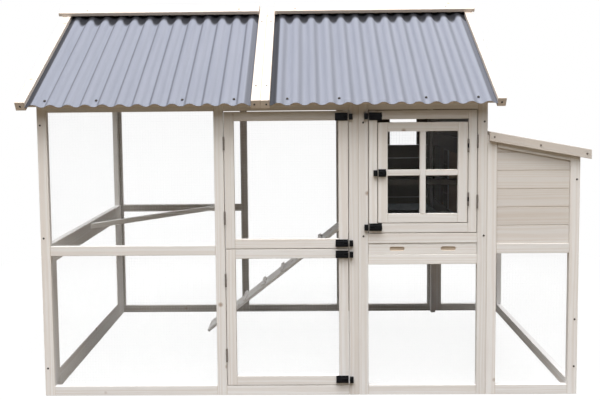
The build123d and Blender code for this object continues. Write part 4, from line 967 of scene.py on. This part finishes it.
@dataclass
class House:
    """The raised house: four frames, boarded walls, roost bars and the nets below."""

    frames: tuple[str, ...] = ("house_front_frame", "house_left_frame", "house_right_frame")
    walls: tuple[tuple[str, Facing], ...] = (
        ("house_left_boards", Facing.RIGHT),
        ("house_right_boards", Facing.LEFT),
        ("house_back_boards", Facing.FRONT),
    )
    arris: float = TIMBER_ARRIS
    board_arris: float = BOARD_ARRIS
    wire: float = 0.22 * MM

    def build(self) -> None:
        """Make the frames, the walls and what is inside."""
        for node in self.frames:
            Joinery(arris=self.arris).make(node)
        # The back frame's faces towards the front get the darker finish as painted shade.
        Joinery(arris=self.arris, lining=BACK_SHADE_FIR, inward=Facing.FRONT).make("house_back_frame")
        # Inner wall faces: bare fir darkened with painted shade.
        for node, inward in self.walls:
            Joinery(arris=self.board_arris, lining=INNER_SHADE_FIR, inward=inward).make(node)
        # Roost bars: bare fir darkened with painted shade.
        Joinery(INNER_SHADE_FIR, self.arris).make("roost_bars")
        Netting(wire=self.wire).make("house_and_nest_mesh")


@dataclass
class NestBay:
    """The nest bay: three frames, boarded walls, a floor and the walls between the nests."""

    frames: tuple[str, ...] = ("nest_front_frame", "nest_side_frame", "nest_back_frame")
    inside: tuple[str, ...] = ("nest_floor", "nest_dividers")
    arris: float = TIMBER_ARRIS
    board_arris: float = BOARD_ARRIS

    def build(self) -> None:
        """Make the frames, the boards and the inside."""
        for node in self.frames:
            Joinery(arris=self.arris).make(node)
        Joinery(BOARD_FIR, self.board_arris).make("nest_boards")
        for node in self.inside:
            Joinery(BARE_FIR, self.arris).make(node)


@dataclass
class NestLid:
    """The lid of the nests with its fascia, hinge leaves and screws."""

    arris: float = TIMBER_ARRIS
    metal_arris: float = HINGE_ARRIS

    def build(self) -> None:
        """Make the lid and its fittings."""
        # The fascia gets a greyer copy of the whitewash as painted shade.
        Joinery(FASCIA_SHADE_FIR, self.arris).make("nest_lid")
        Metalwork(HINGE_STEEL, self.metal_arris).make("lid_fittings")


@dataclass
class Roof:
    """Rafters and battens, four corrugated sheets, the ridge boards and the roof screws."""

    timbers: tuple[str, ...] = ("roof_frame_front", "roof_frame_back", "ridge_boards")
    sheets: tuple[str, ...] = (
        "roof_sheet_front_left", "roof_sheet_front_right", "roof_sheet_back_left", "roof_sheet_back_right")
    arris: float = TIMBER_ARRIS
    crease_deg: float = 50.0
    sheet: float = 1.2 * MM
    wave: float = 76 * MM
    drawn_depth: float = 0.72

    def build(self) -> None:
        """Make the timbers, the sheets and the screws."""
        for node in self.timbers:
            Joinery(ROOF_FIR, self.arris).make(node)
        for node in self.sheets:
            bm = merged(node)
            self.mark_sheet(bm)
            self.shallow_waves(bm)
            coat = LEFT_ROOF_COAT if node.endswith("left") else RIGHT_ROOF_COAT
            place_piece(node + "_coated", bm, [coat], node, self.crease_deg)
        ScrewHeads(Facing.UP).make("roof_screws")

    def mark_sheet(self, bm: BMesh) -> None:
        """Store each point's place on a sheet: across its waves, above its troughs and below the ridge board.

        Args:
            bm: The sheet.
        """
        across = Vector((0, math.sin(ROOF_PITCH), math.cos(ROOF_PITCH)))
        up = Vector((0, -across.z, across.y))
        board = frame["nodes"]["ridge_boards"].data
        foot = min(up.dot((0, abs(v.co.y), v.co.z)) for v in board.vertices)
        left = min(v.co.x for v in bm.verts)
        low = min(across.dot((0, abs(v.co.y), v.co.z)) for v in bm.verts) + self.sheet
        layer = bm.verts.layers.float_vector.new(Layer.SHEET.value)
        for vert in bm.verts:
            folded = Vector((0, abs(vert.co.y), vert.co.z))
            vert[layer] = ((vert.co.x - left) / self.wave, across.dot(folded) - low, foot - up.dot(folded))

    def shallow_waves(self, bm: BMesh) -> None:
        """Bring a sheet's crests down towards its troughs, to the depth that shows at the eave.

        Args:
            bm: The sheet, with its places stored, changed in place.
        """
        layer = bm.verts.layers.float_vector[Layer.SHEET.value]
        for vert in bm.verts:
            drop = (vert[layer].y + self.sheet) * (1 - self.drawn_depth)
            outward = math.copysign(math.sin(ROOF_PITCH), vert.co.y)
            vert.co -= Vector((0, outward, math.cos(ROOF_PITCH))) * drop


@dataclass
class HingedDoor:
    """A door's frame with its net, if it has one, its hinge leaves, latch cases and two slide bolts."""

    name: str
    netted: bool
    arris: float = TIMBER_ARRIS
    wire: float = 0.3 * MM
    hinge_arris: float = HINGE_ARRIS
    latch_arris: float = LATCH_ARRIS

    def build(self) -> None:
        """Make the door and its fittings."""
        Joinery(arris=self.arris).make(self.name + "_frame")
        if self.netted:
            Netting(wire=self.wire).make(self.name + "_mesh")
        Metalwork(HINGE_STEEL, self.hinge_arris).make(self.name + "_hinges")
        for part in ("_latches", "_bolt_low", "_bolt_high"):
            Metalwork(BLACK_COAT, self.latch_arris).make(self.name + part)


@dataclass
class WindowSash:
    """The sash in the house door: crossed bars, a clear sheet, a net darkened with painted shade behind it
    and black fittings.
    """

    arris: float = TIMBER_ARRIS
    pane_arris: float = 0.3 * MM
    pane_segments: int = 1
    latch_arris: float = LATCH_ARRIS
    wire: float = 0.22 * MM

    def build(self) -> None:
        """Make the sash from the timber inwards."""
        Joinery(arris=self.arris).make("sash_frame")
        self.pane()
        # The net behind the pane is drawn grey as painted shade.
        Netting(SHADED_WIRE, wire=self.wire).make("sash_mesh")
        for node in ("sash_fittings", "sash_bolt"):
            Metalwork(BLACK_COAT, self.latch_arris).make(node)

    def pane(self) -> None:
        """Make the clear sheet behind the bars."""
        bm = merged("sash_pane")
        ease(bm, self.pane_arris, self.pane_segments)
        place_piece("sash_pane_clear", bm, [PANE_PLASTIC], "sash_pane")


@dataclass
class TrayDrawer:
    """The pull-out tray and its front, bare where the finger slots are routed."""

    arris: float = TIMBER_ARRIS
    segments: int = 2
    tray_arris: float = 0.5 * MM
    rim: float = 2.0 * MM
    skin: float = 0.5 * MM
    recess: float = 3.0 * MM

    def build(self) -> None:
        """Make the front and the tray."""
        self.front()
        Metalwork(ZINC_SHEET, self.tray_arris).make("dropping_tray")

    def front(self) -> None:
        """Make the drawer front, set back a little in its opening, with bare wood inside its slots."""
        bm = merged("drawer_front")
        low, high = corners(bm.verts[:])
        Joinery().lay_grain(bm, random.Random("drawer_front"))
        for face in bm.faces:
            middle = face.calc_center_median()
            inside = all(low[i] + self.rim < middle[i] < high[i] - self.rim for i in (0, 2))
            if inside and low.y + self.skin < middle.y < high.y - self.skin:
                face.material_index = 1
        for vert in bm.verts:
            if vert.co.y < low.y + self.skin:
                vert.co.y += self.recess
        ease(bm, self.arris, self.segments)
        place_piece("drawer_front_timber", bm, [FIR, SLOT_FIR], "drawer_front")


@dataclass
class FixedIronwork:
    """What is screwed to the fixed frames: hinge leaves, latch keepers and screw heads."""

    hinge_arris: float = HINGE_ARRIS
    latch_arris: float = LATCH_ARRIS

    def build(self) -> None:
        """Make the fixed fittings."""
        Metalwork(HINGE_STEEL, self.hinge_arris).make("hinge_fixed_leaves")
        Metalwork(BLACK_COAT, self.latch_arris).make("latch_keepers")
        ScrewHeads(Facing.FRONT).make("frame_screws")


@dataclass(frozen=True)
class Softbox:
    """One square soft light."""

    name: str
    at: tuple[float, float, float]
    energy: float
    target: tuple[float, float, float] = (0.0, -0.75, 0.9)
    size: float = 5.0

    def hang(self) -> None:
        """Add the light to the scene, hidden from the camera."""
        lamp = bpy.data.lights.new(self.name, "AREA")
        lamp.shape = "SQUARE"
        lamp.size = self.size
        lamp.energy = self.energy
        holder = bpy.data.objects.new(self.name, lamp)
        holder.location = self.at
        aim = Vector(self.target) - Vector(self.at)
        holder.rotation_euler = aim.to_track_quat("-Z", "Y").to_euler()
        holder.visible_camera = False
        bpy.context.scene.collection.objects.link(holder)


@dataclass
class Studio:
    """Floor, lights, background and the camera of the photograph."""

    focal_px: float = 815.0
    image_px: tuple[int, int] = (600, 400)
    centre_px: tuple[float, float] = (292.14, 163.86)
    sensor_mm: float = 36.0
    camera_at: tuple[float, float, float] = (0.01344, -4.36772, 1.33851)
    pitch: float = 0.0781326
    yaw: float = -0.016510
    roll: float = -0.0096023
    floor_half: float = 40.0
    floor_drop: float = 0.5 * MM
    floor_bounce: str = "827664"
    floor_paper: str = "F4F4F3"
    shadow_reach: float = 1.6
    white_reach: float = 3.4
    near_white: float = 0.92
    lights: tuple[Softbox, ...] = (
        Softbox("left_light", (-2.99, -4.31, 10.87), 1015.0),
        Softbox("right_light", (2.99, -4.31, 10.87), 795.0),
        Softbox("front_light", (0.0, -8.82, 8.33), 510.0),
        Softbox("back_light", (3.54, 3.46, 10.43), 640.0),
        Softbox("side_light", (-9.2, 1.72, 6.4), 330.0, target=(0.0, -0.2, 0.7)),
    )

    def build(self) -> None:
        """Set the stage up."""
        self.lay_floor()
        self.surround()
        for softbox in self.lights:
            softbox.hang()
        self.aim()
        bpy.context.scene.view_settings.view_transform = "Standard"

    def lay_floor(self) -> None:
        """Lay a pale floor that the camera sees as nearly white, with soft shadows left on it."""
        bm = bmesh.new()
        bmesh.ops.create_grid(bm, x_segments=1, y_segments=1, size=self.floor_half)
        mesh = bpy.data.meshes.new("floor")
        bm.to_mesh(mesh)
        bm.free()
        floor = bpy.data.objects.new("floor", mesh)
        floor.location.z = -self.floor_drop
        bpy.context.scene.collection.objects.link(floor)
        paper = bpy.data.materials.new("pale_paper_floor")
        paper.use_nodes = True
        tree = paper.node_tree
        tree.nodes.clear()
        seen = self.seen_rays(tree)
        colour = layered(tree, self.floor_bounce, [(seen, self.floor_paper)])
        matte = add_node(tree, "ShaderNodeBsdfDiffuse", {"Color": colour})
        glow = add_node(tree, "ShaderNodeEmission", {"Color": WHITE, "Strength": 1.0})
        place = add_node(tree, "ShaderNodeTexCoord")
        away = add_node(tree, "ShaderNodeVectorMath", {0: place.outputs["Object"]}, operation="LENGTH")
        whitening = Span(self.shadow_reach, self.white_reach, self.near_white, 1.0)
        white = add_node(tree, "ShaderNodeMapRange", whitening.of(away.outputs["Value"]))
        amount = add_node(tree, "ShaderNodeMath", {0: seen, 1: white.outputs[0]}, operation="MULTIPLY")
        mix = add_node(
            tree, "ShaderNodeMixShader", {0: amount.outputs[0], 1: matte.outputs[0], 2: glow.outputs[0]})
        add_node(tree, "ShaderNodeOutputMaterial", {"Surface": mix.outputs[0]})
        mesh.materials.append(paper)

    @staticmethod
    def seen_rays(tree: NodeTree) -> NodeSocket:
        """Give 1 for rays that show the background: from the camera, off gloss or through clear plastic.

        Args:
            tree: The tree that gets the nodes.

        Returns:
            The socket that gives it.
        """
        path = add_node(tree, "ShaderNodeLightPath")
        gloss = add_node(
            tree, "ShaderNodeMath",
            {0: path.outputs["Is Camera Ray"], 1: path.outputs["Is Glossy Ray"]}, operation="MAXIMUM")
        seen = add_node(
            tree, "ShaderNodeMath",
            {0: gloss.outputs[0], 1: path.outputs["Is Transmission Ray"]}, operation="MAXIMUM")
        return seen.outputs[0]

    def surround(self) -> None:
        """Set a white background that shows but gives the object no light."""
        world = bpy.data.worlds.new("studio")
        bpy.context.scene.world = world
        world.use_nodes = True
        tree = world.node_tree
        tree.nodes.clear()
        sky = add_node(tree, "ShaderNodeBackground", {"Color": WHITE, "Strength": self.seen_rays(tree)})
        add_node(tree, "ShaderNodeOutputWorld", {"Surface": sky.outputs[0]})

    def aim(self) -> None:
        """Put the camera where the photograph was taken from."""
        forward = Vector((
            math.sin(self.yaw) * math.cos(self.pitch), math.cos(self.yaw) * math.cos(self.pitch),
            -math.sin(self.pitch)))
        right = Vector((math.cos(self.yaw), -math.sin(self.yaw), 0))
        up = right.cross(forward)
        level, tilt = math.cos(self.roll), math.sin(self.roll)
        side = level * right + tilt * up
        head = -tilt * right + level * up
        lens = bpy.data.cameras.new("camera")
        lens.sensor_fit = "HORIZONTAL"
        lens.sensor_width = self.sensor_mm
        lens.lens = self.sensor_mm * self.focal_px / self.image_px[0]
        lens.shift_x = (self.image_px[0] / 2 - self.centre_px[0]) / self.image_px[0]
        lens.shift_y = (self.centre_px[1] - self.image_px[1] / 2) / self.image_px[0]
        camera = bpy.data.objects.new("camera", lens)
        turn = Matrix((side, head, -forward)).transposed().to_4x4()
        camera.matrix_world = Matrix.Translation(self.camera_at) @ turn
        bpy.context.scene.collection.objects.link(camera)
        bpy.context.scene.camera = camera


def main() -> None:
    """Build every sub-assembly in order."""
    logging.basicConfig(level=logging.INFO, format="%(name)s: %(message)s")
    for assembly in (
            Run(), House(), NestBay(), NestLid(), Roof(), HingedDoor("upper_door", netted=True),
            HingedDoor("lower_door", netted=True), HingedDoor("house_door", netted=False), WindowSash(),
            TrayDrawer(), FixedIronwork(), Studio()):
        assembly.build()


if __name__ == "__main__":
    main()
